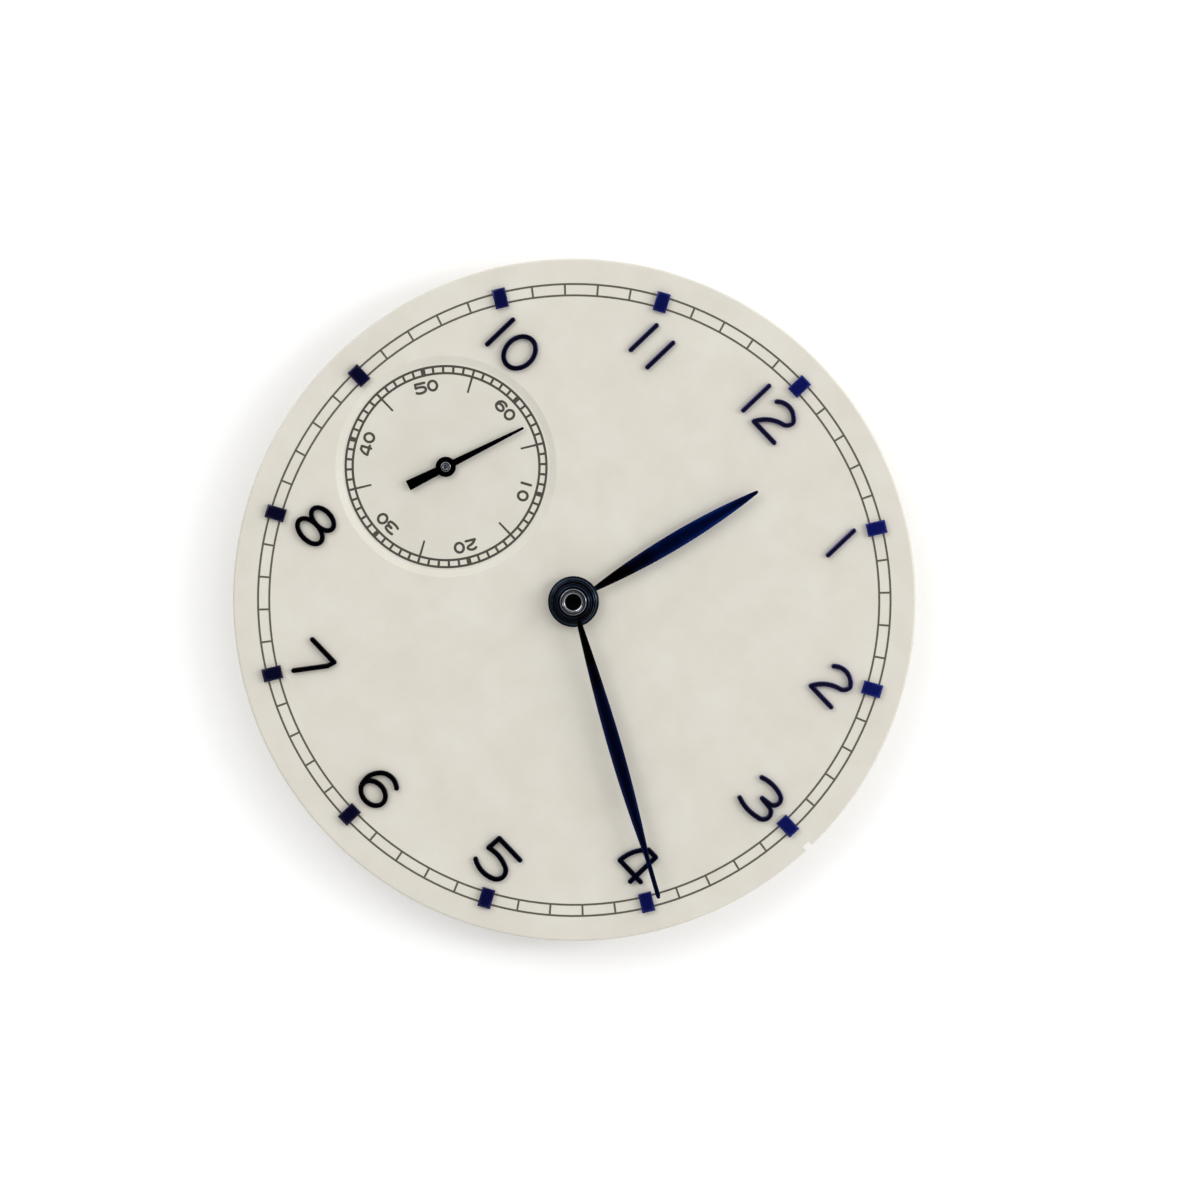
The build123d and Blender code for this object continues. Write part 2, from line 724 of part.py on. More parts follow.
# Minute wheel with its pinion, turning on a post beside the centre
half_turn = full_turn / 2
with BuildPart() as minute_wheel:
    phase = half_turn + full_turn / minute_teeth / 2
    extrude(wheel_face(minute_teeth, tooth_size, minute_wheel_level, post_centre, phase), wheel_thickness)
    seat = disc(wheel_seat_radius + fit_gap, minute_wheel_level, post_centre)
    extrude(seat, wheel_thickness, mode=Mode.SUBTRACT)
finish(minute_wheel, "minute_wheel")

with BuildPart() as minute_pinion:
    extrude(disc(wheel_seat_radius, minute_wheel_level, post_centre), wheel_thickness)
    leaves = pinion_face(minute_pinion_teeth, hour_tooth_size, minute_wheel_top, post_centre, half_turn)
    extrude(leaves, minute_pinion_height)
    bore = disc(post_radius + running_gap, minute_wheel_level, post_centre)
    extrude(bore, wheel_thickness + minute_pinion_height, mode=Mode.SUBTRACT)
finish(minute_pinion, "minute_pinion")

with BuildPart() as minute_wheel_post:
    root = disc(post_radius, works_floor - post_root_length, post_centre)
    extrude(root, works_bridge_top - works_floor + post_root_length)
    extrude(disc(post_seat_radius, works_floor, post_centre), post_seat_height)
finish(minute_wheel_post, "minute_wheel_post")

# Small bridge that keeps the minute wheel on its post, and its two screws
with BuildPart() as minute_wheel_bridge:
    arm_start = works_centre_distance - works_bridge_overhang
    with BuildSketch(Plane.XY.offset(works_bridge_level)):
        with Locations(((arm_start + works_foot_centre) / 2, 0)):
            RectangleRounded(works_foot_centre - arm_start, works_bridge_width, works_bridge_corner)
        with Locations((works_foot_centre, 0)):
            RectangleRounded(works_bridge_foot_length, works_bridge_foot_width, works_bridge_corner)
        with Locations(post_centre):
            Circle(post_radius + running_gap, mode=Mode.SUBTRACT)
        with Locations((works_foot_centre, 0)):
            with GridLocations(0, works_screw_spacing, 1, 2):
                Circle(works_screw_radius + screw_gap, mode=Mode.SUBTRACT)
    extrude(amount=works_bridge_thickness)
finish(minute_wheel_bridge, "minute_wheel_bridge")

with BuildPart() as minute_bridge_screws:
    with BuildSketch(Plane((works_foot_centre, 0, works_bridge_top))):
        with GridLocations(0, works_screw_spacing, 1, 2):
            Circle(works_screw_radius)
    extrude(amount=-works_screw_length)
    with BuildSketch(Plane((works_foot_centre, 0, works_bridge_top))):
        with GridLocations(0, works_screw_spacing, 1, 2):
            Circle(works_screw_head_radius)
    extrude(amount=works_screw_head_height)
    with BuildSketch(Plane((works_foot_centre, 0, works_bridge_top + works_screw_head_height))):
        with GridLocations(0, works_screw_spacing, 1, 2):
            Rectangle(2 * works_screw_head_radius, screw_slot_width)
    extrude(amount=-screw_slot_depth, mode=Mode.SUBTRACT)
finish(minute_bridge_screws, "minute_bridge_screws")

# Hour wheel with its boss and pipe, running on the cannon pinion
with BuildPart() as hour_wheel:
    phase = full_turn / hour_teeth / 2
    extrude(wheel_face(hour_teeth, hour_tooth_size, hour_wheel_level, phase=phase), wheel_thickness)
    extrude(disc(hour_boss_radius, hour_wheel_top), hour_boss_height)
    extrude(disc(hour_pipe_radius, hour_boss_top), hour_pipe_top - hour_boss_top)
    pipe_bore = disc(cannon_pipe_radius + running_gap, hour_wheel_level)
    extrude(pipe_bore, hour_pipe_top - hour_wheel_level, mode=Mode.SUBTRACT)
finish(hour_wheel, "hour_wheel")

# Bowed washer that presses the hour wheel down from the dial
washer_rise = plate_thickness - end_play - hour_boss_top
with BuildPart() as dial_washer:
    with BuildSketch(Plane.XZ.offset(-washer_radius)):
        with BuildLine():
            low = hour_boss_top
            high = low + washer_rise - washer_thickness
            ThreePointArc((-washer_radius, high), (0, low), (washer_radius, high))
            Line((washer_radius, high), (washer_radius, high + washer_thickness))
            ThreePointArc(
                (washer_radius, high + washer_thickness), (0, low + washer_thickness),
                (-washer_radius, high + washer_thickness),
            )
            Line((-washer_radius, high + washer_thickness), (-washer_radius, high))
        make_face()
    extrude(amount=2 * washer_radius)
    extrude(ring(washer_radius, hour_pipe_radius + washer_gap, 0), dial_top, mode=Mode.INTERSECT)
finish(dial_washer, "dial_washer")

# Hour hand and the bush that grips the hour wheel's pipe
with BuildPart() as hour_hand:
    blade = leaf_face(
        hour_hand_length, hour_widest_share, hour_hand_width, hour_hand_root_width,
        hour_hub_radius, hour_hand_angle, hour_hand_level,
    )
    extrude(blade, leaf_thickness)
    extrude(disc(hour_hub_radius, hour_hand_level), hub_thickness)
    extrude(disc(hour_bush_radius + fit_gap, hour_hand_level), hub_thickness, mode=Mode.SUBTRACT)
finish(hour_hand, "hour_hand")

with BuildPart() as hour_hand_bush:
    bush = ring(hour_bush_radius, hour_pipe_radius + fit_gap, hour_hand_level - hour_bush_drop)
    extrude(bush, hour_bush_drop + hub_thickness + bush_rim)
finish(hour_hand_bush, "hour_hand_bush")

# Minute hand and the bush that grips the cannon pinion
with BuildPart() as minute_hand:
    blade = leaf_face(
        minute_hand_length, minute_widest_share, minute_hand_width, minute_hand_root_width,
        minute_hub_radius, minute_hand_angle, minute_hand_level,
    )
    extrude(blade, leaf_thickness)
    extrude(disc(minute_hub_radius, minute_hand_level), hub_thickness)
    extrude(disc(minute_bush_radius + fit_gap, minute_hand_level), hub_thickness, mode=Mode.SUBTRACT)
finish(minute_hand, "minute_hand")

with BuildPart() as minute_hand_bush:
    bush = ring(minute_bush_radius, minute_seat_radius + fit_gap, minute_bush_level)
    extrude(bush, minute_bush_drop + hub_thickness + bush_rim)
finish(minute_hand_bush, "minute_hand_bush")

# Seconds arbor: driven pinion, journal in the jewel and the fine pivot that carries the hand
with BuildPart() as seconds_arbor:
    leaves = pinion_face(seconds_pinion_teeth, seconds_tooth_size, pinion_level, seconds_centre)
    extrude(leaves, centre_pinion_height)
    journal_top = seconds_well_depth + seconds_jewel_thickness + seconds_journal_overreach
    extrude(disc(seconds_journal_radius, pinion_top, seconds_centre), journal_top - pinion_top)
    pivot = disc(seconds_pivot_radius, journal_top, seconds_centre)
    extrude(pivot, seconds_arbor_top - journal_top)
finish(seconds_arbor, "seconds_arbor")

# Seconds hand: a slim tapering pointer, a broad square tail and a round hub
with BuildPart() as seconds_hand:
    half_root = seconds_hand_width / 2
    half_tip = seconds_tip_width / 2
    half_tail = seconds_tail_width / 2
    half_tail_root = seconds_tail_root_width / 2
    with BuildSketch(clock_plane(seconds_hand_angle, seconds_hand_level, seconds_centre)):
        Circle(seconds_hub_radius)
        with BuildLine():
            Polyline(
                (-half_root, 0), (-half_tip, seconds_hand_length),
                (half_tip, seconds_hand_length), (half_root, 0), close=True,
            )
        make_face()
        with BuildLine():
            Polyline(
                (-half_tail_root, 0), (-half_tail, -seconds_tail_length),
                (half_tail, -seconds_tail_length), (half_tail_root, 0), close=True,
            )
        make_face()
        Circle(seconds_pipe_radius + fit_gap, mode=Mode.SUBTRACT)
    extrude(amount=seconds_hand_thickness)
finish(seconds_hand, "seconds_hand")

with BuildPart() as seconds_hand_pipe:
    tube = ring(
        seconds_pipe_radius, seconds_pivot_radius + fit_gap,
        seconds_hand_level - seconds_pipe_drop, seconds_centre,
    )
    extrude(tube, seconds_pipe_drop + seconds_hand_thickness + seconds_pipe_rim)
finish(seconds_hand_pipe, "seconds_hand_pipe")
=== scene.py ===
from math import atan2, ceil, cos, pi, radians, sin

import bmesh
import bpy
from mathutils import Matrix, Vector


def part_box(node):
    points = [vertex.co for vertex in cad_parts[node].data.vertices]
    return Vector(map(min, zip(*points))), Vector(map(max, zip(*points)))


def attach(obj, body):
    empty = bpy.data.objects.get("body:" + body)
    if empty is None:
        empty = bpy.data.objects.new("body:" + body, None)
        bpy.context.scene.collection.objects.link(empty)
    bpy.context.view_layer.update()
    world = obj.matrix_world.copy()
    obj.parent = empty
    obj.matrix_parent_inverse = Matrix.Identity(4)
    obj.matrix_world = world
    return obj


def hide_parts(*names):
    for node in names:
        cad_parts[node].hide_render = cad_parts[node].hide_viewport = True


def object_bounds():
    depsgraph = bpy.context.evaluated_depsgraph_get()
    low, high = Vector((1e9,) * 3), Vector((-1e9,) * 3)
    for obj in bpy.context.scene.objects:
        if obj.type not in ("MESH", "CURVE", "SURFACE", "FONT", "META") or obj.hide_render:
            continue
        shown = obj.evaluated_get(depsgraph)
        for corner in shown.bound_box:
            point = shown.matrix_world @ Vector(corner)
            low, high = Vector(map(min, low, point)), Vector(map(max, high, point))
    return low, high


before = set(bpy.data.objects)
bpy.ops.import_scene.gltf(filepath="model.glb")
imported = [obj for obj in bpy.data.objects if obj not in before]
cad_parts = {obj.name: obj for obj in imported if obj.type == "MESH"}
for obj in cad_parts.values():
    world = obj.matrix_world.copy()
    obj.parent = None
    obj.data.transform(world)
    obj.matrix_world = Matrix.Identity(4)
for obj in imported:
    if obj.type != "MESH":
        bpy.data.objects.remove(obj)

# The watch dial's looks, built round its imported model. Meshes are worked in millimetres
# and scaled to metres when they are finished. +Z is out of the dial, +Y is 12 o'clock.
cadLow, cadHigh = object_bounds()
millimetre = 0.001
weldDistance = 0.0002
mergeAngle = radians(0.1)
sharpAngle = radians(38)
flatArea = 3             # wider faces are flat, in square millimetres
levelShare = 0.9999      # and so are faces whose normal points this nearly straight up or down
overrun, reach = 0.5, 1  # how far a plug passes the dial or the plate, and how far a bore passes a small part
middleAxis = (0, 0)


def nodeBox(node):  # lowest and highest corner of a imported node, in millimetres
    low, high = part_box(node)
    return Vector(low) / millimetre, Vector(high) / millimetre


def levels(node):
    return [corner.z for corner in nodeBox(node)]


def nodeCentre(node):  # seen from the front
    low, high = nodeBox(node)
    return ((low + high) / 2).xy


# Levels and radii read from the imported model
dialLow, dialHigh = nodeBox("dial_plate")
dialTop = dialHigh.z
dialRadius = (dialHigh.y - dialLow.y) / 2
plateLow, plateHigh = nodeBox("main_plate")
plateRadius = plateHigh.x
secondsCentre = nodeCentre("seconds_arbor")
postCentre = nodeCentre("minute_wheel")
recessFloor = levels("seconds_track_print")[0]
print("frame read:", len(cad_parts), "nodes")


# mesh helpers
def rotateMesh(bm, angle, axis="Z"):  # about the origin, in degrees
    bmesh.ops.rotate(bm, cent=(0, 0, 0), matrix=Matrix.Rotation(radians(angle), 3, axis), verts=bm.verts)


def moveMesh(bm, x, y, z=0):
    bmesh.ops.translate(bm, vec=(x, y, z), verts=bm.verts)


def turnTo(bm, clockAngle, centre, level):  # from along +Y at the origin to a clock angle
    rotateMesh(bm, -clockAngle)
    moveMesh(bm, *centre, level)


def weld(bm):
    bmesh.ops.remove_doubles(bm, verts=bm.verts, dist=weldDistance)


def faceOutward(bm):
    bmesh.ops.recalc_face_normals(bm, faces=bm.faces)


def chain(bm, points, closed=False):  # points in a row, joined by edges
    verts = [bm.verts.new(point) for point in points]
    ends = verts[1:] + verts[:1] if closed else verts[1:]
    return verts + [bm.edges.new(pair) for pair in zip(verts, ends)]


def spin(bm, geom, angle, steps, centre=middleAxis, **settings):
    return bmesh.ops.spin(
        bm, geom=geom, cent=(*centre, 0), axis=(0, 0, 1), angle=angle, steps=steps, **settings,
    )["geom_last"]


def turned(outline, steps=144, centre=middleAxis):  # a lathe: (radius, level) points spun about +Z
    bm = bmesh.new()
    geom = chain(bm, [(radius, 0, level) for radius, level in outline], min(outline)[0] > 0)
    spin(bm, geom, 2 * pi, steps, use_merge=True)
    weld(bm)
    faceOutward(bm)
    moveMesh(bm, *centre)
    return bm


def ring(inner, outer, low, high, steps=128, centre=middleAxis):
    return turned([(inner, low), (outer, low), (outer, high), (inner, high)], steps, centre)


def plug(radius, low, high, centre=middleAxis, steps=64):
    return turned([(0, low), (radius, low), (radius, high), (0, high)], steps, centre)


def block(low, high):
    bm = bmesh.new()
    bmesh.ops.create_cube(bm, size=1)
    bmesh.ops.scale(bm, vec=[high[axis] - low[axis] for axis in range(3)], verts=bm.verts)
    moveMesh(bm, *[(high[axis] + low[axis]) / 2 for axis in range(3)])
    return bm


def polygon(corners):  # one flat face
    bm = bmesh.new()
    bm.faces.new([bm.verts.new((x, y, 0)) for x, y in corners])
    return bm


def vertsOf(geom):
    return [item for item in geom if isinstance(item, bmesh.types.BMVert)]


def extrudedVerts(bm):
    return vertsOf(bmesh.ops.extrude_face_region(bm, geom=bm.faces[:], use_keep_orig=True)["geom"])


def thicken(bm, low, high):  # flat faces become a closed solid between two levels
    for vert in bm.verts:
        vert.co.z = low
    bmesh.ops.translate(bm, vec=(0, 0, high - low), verts=extrudedVerts(bm))
    faceOutward(bm)


def soften(bm, width, segments=3, sharperThan=50, where=None):  # rounds the sharp edges
    edges = [
        edge for edge in bm.edges
        if edge.is_manifold and edge.calc_face_angle() > radians(sharperThan)
        and (where is None or where(edge))
    ]
    bmesh.ops.bevel(
        bm, geom=edges, offset=width, segments=segments, profile=0.5, affect="EDGES",
        material=-1, clamp_overlap=True,
    )


def atRadius(radius, centre, level, slack=0.02):  # picks the edges of a round rim
    def picks(edge):
        return all(
            abs((vert.co.xy - Vector(centre)).length - radius) < slack and abs(vert.co.z - level) < slack
            for vert in edge.verts
        )
    return picks


def above(level):  # picks the edges that lie wholly above a level
    return lambda edge: min(vert.co.z for vert in edge.verts) > level


def placed(name, data):
    made = bpy.data.objects.new(name, data)
    bpy.context.collection.objects.link(made)
    return made


def asObject(bm, name):
    mesh = bpy.data.meshes.new(name)
    bm.to_mesh(mesh)
    bm.free()
    return placed(name, mesh)


def addTo(bm, other):  # puts one mesh beside another in the same piece
    mesh = bpy.data.meshes.new("carried")
    other.to_mesh(mesh)
    other.free()
    bm.from_mesh(mesh)
    bpy.data.meshes.remove(mesh)


def combine(operation, base, others, merged):  # one solid from several, by exact booleans
    if merged:  # faces in one plane become one face first
        for bm in (base, *others):
            bmesh.ops.dissolve_limit(bm, angle_limit=mergeAngle, verts=bm.verts, edges=bm.edges)
    blank = asObject(base, "blank")
    tools = [asObject(other, "tool") for other in others]
    for tool in tools:
        step = blank.modifiers.new("combine", "BOOLEAN")
        step.operation = operation
        step.solver = "EXACT"
        step.object = tool
    result = bmesh.new()
    result.from_object(blank, bpy.context.evaluated_depsgraph_get())
    for used in (blank, *tools):
        bpy.data.objects.remove(used, do_unlink=True)
    weld(result)
    return result


def fuse(base, *others, merged=False):
    return combine("UNION", base, others, merged)


def cut(base, *tools, merged=False):
    return combine("DIFFERENCE", base, tools, merged)


def finishPiece(bm, name, node, material, body="movement_plate"):
    weld(bm)
    faceOutward(bm)
    bm.normal_update()
    for face in bm.faces:
        face.smooth = face.calc_area() < flatArea and abs(face.normal.z) < levelShare
    for edge in bm.edges:
        edge.smooth = edge.calc_face_angle(0) < sharpAngle
    bmesh.ops.scale(bm, vec=(millimetre,) * 3, verts=bm.verts)
    piece = asObject(bm, name)
    piece.data.materials.append(material)
    shading = piece.modifiers.new("shading", "WEIGHTED_NORMAL")
    shading.keep_sharp = True
    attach(piece, body)
    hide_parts(node)


# material helpers: owner is a material or the world, and a value is a constant or a node's output
def connect(owner, socket, value):
    if isinstance(value, bpy.types.NodeSocket):
        owner.node_tree.links.new(value, socket)
    else:
        socket.default_value = value


def feed(owner, socket, value, shader="Principled BSDF"):
    connect(owner, owner.node_tree.nodes[shader].inputs[socket], value)


def addNode(owner, kind, inputs=None, **settings):
    node = owner.node_tree.nodes.new("ShaderNode" + kind)
    for setting, value in settings.items():
        setattr(node, setting, value)
    for socket, value in (inputs or {}).items():
        connect(owner, node.inputs[socket], value)
    return node


def newMaterial(name, colour, metallic, roughness):
    material = bpy.data.materials.new(name)
    material.use_nodes = True
    feed(material, "Base Color", (*colour, 1))
    feed(material, "Metallic", metallic)
    feed(material, "Roughness", roughness)
    return material


def millimetres(material, centre=middleAxis, clockAngle=0, stretch=(1, 1, 1)):  # object coordinates in mm
    return addNode(material, "Mapping", {
        "Vector": addNode(material, "TexCoord").outputs["Object"],
        "Location": (centre[0] * millimetre, centre[1] * millimetre, 0),
        "Rotation": (0, 0, -radians(clockAngle)),
        "Scale": tuple(size * millimetre for size in stretch),
    }, vector_type="TEXTURE").outputs["Vector"]


def part(owner, vector, axis):
    return addNode(owner, "SeparateXYZ", {"Vector": vector}).outputs[axis]


def noise(material, place, scale, detail=3, roughness=0.5):
    return addNode(material, "TexNoise", {
        "Vector": place, "Scale": scale, "Detail": detail, "Roughness": roughness,
    }).outputs["Fac"]


def spread(owner, value, low, high, fromLow=0.3, fromHigh=0.7):
    return addNode(owner, "MapRange", {
        "Value": value, "From Min": fromLow, "From Max": fromHigh, "To Min": low, "To Max": high,
    }).outputs["Result"]


def calculate(owner, operation, first, *others):
    for other in others or [0]:
        first = addNode(owner, "Math", {0: first, 1: other}, operation=operation).outputs["Value"]
    return first


def mix(material, factor, first, second, way="MIX"):
    inputs = {"Fac": factor, "Color1": first, "Color2": (*second, 1)}
    return addNode(material, "MixRGB", inputs, blend_type=way).outputs["Color"]


def ramp(material, factor, stops):  # stops are (position, colour)
    node = addNode(material, "ValToRGB", {"Fac": factor})
    elements = node.color_ramp.elements
    while len(elements) < len(stops):
        elements.new(0.5)
    for element, (position, colour) in zip(elements, stops):
        element.position = position
        element.color = (*colour, 1)
    return node.outputs["Color"]


def mottle(material, factor, colour, darker, paler):  # a metal's tone, a little uneven
    tones = [tuple(min(1, value * share) for value in colour) for share in (darker, paler)]
    feed(material, "Base Color", ramp(material, factor, [(0.3, tones[0]), (0.7, tones[1])]))


def addBump(material, height, depth):
    bump = addNode(material, "Bump", {"Height": height, "Distance": depth * millimetre})
    feed(material, "Normal", bump.outputs["Normal"])


def fromAxis(material, centre=middleAxis):  # the place without its height, and its distance from an axis
    place = millimetres(material, centre, 0, (1, 1, 1000))
    return place, addNode(material, "VectorMath", {"Vector": place}, operation="LENGTH").outputs["Value"]


def ringsAround(material, centre, spacing):  # a lathe's or a turning stone's fine rings
    place, distance = fromAxis(material, centre)
    wander = spread(material, noise(material, place, 2, 2), -0.3, 0.3)
    turns = calculate(material, "MULTIPLY", distance, 2 * pi / spacing)
    return calculate(material, "SINE", calculate(material, "ADD", turns, wander))


# materials
dial = {
    "edgeRound": 0.12, "holeRound": 0.02, "centreHole": 1.20, "secondsHole": 0.50, "recessRadius": 5.90,
    "recessSlope": 0.40, "recessRound": 0.10, "notchWidth": 0.45, "notchDepth": 0.30,
}
lacquer = {
    "tones": [(0.30, (0.715, 0.680, 0.595)), (0.70, (0.765, 0.735, 0.655))],
    "mottleScale": 0.35, "grainScale": 16, "grainDepth": 0.0012, "roughness": (0.38, 0.50),
    "brass": (0.62, 0.52, 0.32), "bareEdge": 0.05, "sunkTone": (0.97, 0.97, 0.97), "sunkRings": 0.10,
    "ringShare": 0.5,
}


def makeLacquer():
    material = newMaterial("dialLacquer", lacquer["tones"][0][1], 0, lacquer["roughness"][0])
    place = millimetres(material)
    face = ramp(material, noise(material, place, lacquer["mottleScale"], 4, 0.6), lacquer["tones"])
    cloud = noise(material, place, lacquer["mottleScale"] * 3, 2)
    feed(material, "Roughness", spread(material, cloud, *lacquer["roughness"]))
    height = part(material, place, "Z")
    inside = calculate(material, "LESS_THAN", fromAxis(material, secondsCentre)[1], dial["recessRadius"])
    low = calculate(material, "LESS_THAN", height, (recessFloor + dialTop) / 2)
    sunk = calculate(material, "MULTIPLY", inside, low)
    bare = calculate(material, "LESS_THAN", height, dialLow.z + lacquer["bareEdge"])
    darker = mix(material, sunk, face, lacquer["sunkTone"], "MULTIPLY")
    feed(material, "Base Color", mix(material, bare, darker, lacquer["brass"]))
    feed(material, "Metallic", bare)
    rings = ringsAround(material, secondsCentre, lacquer["sunkRings"])
    turning = calculate(material, "MULTIPLY", rings, sunk, lacquer["ringShare"])
    grain = noise(material, place, lacquer["grainScale"], 2)
    addBump(material, calculate(material, "ADD", grain, turning), lacquer["grainDepth"])
    return material


ink = {
    "minuteTones": [(0.3, (0.075, 0.068, 0.050)), (0.7, (0.115, 0.105, 0.080))],
    "secondsTones": [(0.3, (0.040, 0.036, 0.027)), (0.7, (0.068, 0.062, 0.047))],
    "scale": 9, "depth": 0.0015, "roughness": 0.55,
}


def makeInk(name, tones):
    material = newMaterial(name, tones[0][1], 0, ink["roughness"])
    fleck = noise(material, millimetres(material), ink["scale"], 3)
    feed(material, "Base Color", ramp(material, fleck, tones))
    addBump(material, fleck, ink["depth"])
    return material


def makeBlued(
    name, stops, start, end, centre=middleAxis, clockAngle=0, coat=0.1, roughness=(0.14, 0.26), metallic=1,
):  # heat-blued steel: the tone runs from start to end along a clock angle; on the numerals and markers this ramp is a painted reflection, lighter towards one side of the dial
    material = newMaterial(name, stops[0][1], metallic, roughness[0])
    place = millimetres(material, centre, clockAngle)
    drift = spread(material, noise(material, place, 0.8, 3), -0.06, 0.06)
    # on the numerals and markers this ramp along the clock angle is a painted reflection
    along = spread(material, part(material, place, "Y"), 0, 1, start, end)
    feed(material, "Base Color", ramp(material, calculate(material, "ADD", along, drift), stops))
    lines = noise(material, millimetres(material, centre, clockAngle, (0.25, 4, 1)), 9, 3)
    feed(material, "Roughness", spread(material, lines, *roughness))
    addBump(material, lines, 0.0006)
    feed(material, "Coat Weight", coat)
    feed(material, "Coat Roughness", 0.06)
    return material


def makeTurned(name, colour, roughness, centre=middleAxis, spacing=0.06, depth=0.0008):
    material = newMaterial(name, colour, 1, roughness)
    rings = ringsAround(material, centre, spacing)
    feed(material, "Roughness", spread(material, rings, roughness * 0.8, roughness * 1.3, -1, 1))
    mottle(material, noise(material, millimetres(material, centre), 1.4, 3), colour, 0.92, 1.06)
    addBump(material, rings, depth)
    return material


# the painted shade in the cannon pinion's mouth: its radius, depth, tone, roughness and fade
mouth = {"radius": 0.50, "depth": 0.05, "tone": (0.020, 0.018, 0.018), "roughness": 0.55, "fade": 0.02}


def paintMouthShade(material):  # painted shade inside the cannon pinion's open end: a dark, rougher tone where the deep bore stays in shadow
    sockets = material.node_tree.nodes["Principled BSDF"].inputs
    tone, gloss = (sockets[name].links[0].from_socket for name in ("Base Color", "Roughness"))
    height = part(material, millimetres(material), "Z")
    floor, top, fade = levels("centre_arbor")[1], levels("cannon_pinion")[1], mouth["fade"]
    paintedShade = calculate(
        material, "MULTIPLY",
        spread(material, fromAxis(material)[1], 1, 0, mouth["radius"] - fade, mouth["radius"]),
        spread(material, height, 0, 1, floor - fade, floor),
        spread(material, height, 1, 0, top - mouth["depth"], top),
    )
    feed(material, "Base Color", mix(material, paintedShade, tone, mouth["tone"]))
    feed(material, "Roughness", spread(material, paintedShade, gloss, mouth["roughness"], 0, 1))


def makeGrained(name, colour, roughness, clockAngle=0):  # straight grain from a flat stone
    material = newMaterial(name, colour, 1, roughness)
    lines = noise(material, millimetres(material, middleAxis, clockAngle, (0.05, 3, 1)), 6, 4)
    feed(material, "Roughness", spread(material, lines, roughness * 0.75, roughness * 1.4))
    mottle(material, lines, colour, 0.9, 1.07)
    addBump(material, lines, 0.0012)
    return material


spotting = {
    "spacing": 0.95, "ringSpacing": 0.11, "depth": 0.0016, "roughness": 0.27, "turn": 30,
    "stops": [(0, (0.75, 0.73, 0.68)), (1, (0.57, 0.555, 0.515))], "gloss": (0.20, 0.36),
    "wallInset": 0.18, "wallLines": 0.09,
}


def makeSpotted():  # plated brass: overlapping circular graining, and fine turning on the outer wall
    material = newMaterial("platedBrass", spotting["stops"][0][1], 1, spotting["roughness"])
    place = millimetres(material, middleAxis, spotting["turn"])
    cell = addNode(
        material, "TexVoronoi", {"Vector": place, "Scale": 1 / spotting["spacing"], "Randomness": 0.06},
        voronoi_dimensions="2D",
    ).outputs["Distance"]
    turns = calculate(material, "MULTIPLY", cell, 2 * pi * spotting["spacing"] / spotting["ringSpacing"])
    height = calculate(material, "MULTIPLY", part(material, place, "Z"), 2 * pi / spotting["wallLines"])
    lines = calculate(material, "ADD", height, spread(material, noise(material, place, 0.4, 2), -2, 2))
    wall = calculate(material, "GREATER_THAN", fromAxis(material)[1], plateRadius - spotting["wallInset"])
    rings = calculate(material, "SINE", spread(material, wall, turns, lines, 0, 1))
    shade = spread(material, cell, 0, 1, 0, 0.7)
    tone = spread(material, wall, shade, noise(material, place, 0.8, 3), 0, 1)
    feed(material, "Base Color", ramp(material, tone, spotting["stops"]))
    feed(material, "Roughness", spread(material, rings, *spotting["gloss"], -1, 1))
    addBump(material, rings, spotting["depth"])
    return material


def makeRuby():
    material = newMaterial("ruby", (0.62, 0.02, 0.10), 0, 0.06)
    feed(material, "Transmission Weight", 0.55)
    feed(material, "IOR", 1.76)
    stops = [(0.3, (0.50, 0.012, 0.07)), (0.7, (0.72, 0.035, 0.14))]
    feed(material, "Base Color", ramp(material, noise(material, millimetres(material), 3, 2), stops))
    return material


black, navy, blue = (0.0014, 0.0012, 0.0022), (0.0036, 0.0095, 0.060), (0.0032, 0.0200, 0.165)
hubTone, minuteHubTone = (0.017, 0.028, 0.046), (0.008, 0.013, 0.026)
brass = (0.80, 0.60, 0.27)
dialLacquer = makeLacquer()
minuteInk = makeInk("minuteInk", ink["minuteTones"])
secondsInk = makeInk("secondsInk", ink["secondsTones"])
# the numerals' blue runs lighter towards one side of the dial: a painted reflection
numeralBluePaintedReflection = makeBlued("numeralBluePaintedReflection", [
    (0.05, (0.0050, 0.0041, 0.0085)), (0.45, (0.0085, 0.0105, 0.040)), (0.95, (0.048, 0.045, 0.150)),
], -15, 15, middleAxis, 25)
# the markers' blue runs from dark to lighter across the dial along 40 degrees: a painted reflection
markerBluePaintedReflection = makeBlued("markerBluePaintedReflection", [
    (0.12, (0.0020, 0.0020, 0.028)), (0.52, (0.0040, 0.0070, 0.115)), (0.95, (0.0050, 0.0110, 0.165)),
], -18, 18, middleAxis, 40, 0.15, (0.12, 0.20), 0.5)
bushBlue = makeTurned("bushBlue", (0.018, 0.026, 0.040), 0.12, middleAxis, 0.05, 0.0004)
# polishedSteel and secondsSteel are set far darker than plain steel: a painted shade standing in for the dark
# reflection on their flat polished tops
polishedSteel = makeTurned("polishedSteel", (0.30, 0.31, 0.34), 0.10, middleAxis, 0.05, 0.0002)
# paints shade into the cannon pinion's open end
paintMouthShade(polishedSteel)
secondsSteel = makeTurned("secondsSteel", (0.34, 0.35, 0.38), 0.09, secondsCentre, 0.04, 0.0001)
pinionSteel = makeTurned("pinionSteel", (0.70, 0.71, 0.73), 0.2, postCentre, 0.05)
grainedSteel = makeGrained("grainedSteel", (0.60, 0.61, 0.63), 0.30, 90)
screwSteel = makeGrained("screwSteel", (0.66, 0.67, 0.69), 0.20, 20)
giltBrass = makeTurned("giltBrass", brass, 0.28, middleAxis, 0.09)
minuteBrass = makeTurned("minuteBrass", brass, 0.28, postCentre, 0.09)
copper = makeGrained("copper", (0.72, 0.38, 0.25), 0.35)
bronze = makeGrained("bronze", (0.74, 0.53, 0.32), 0.30)
platedBrass = makeSpotted()
ruby = makeRuby()
print("materials made:", len(bpy.data.materials))


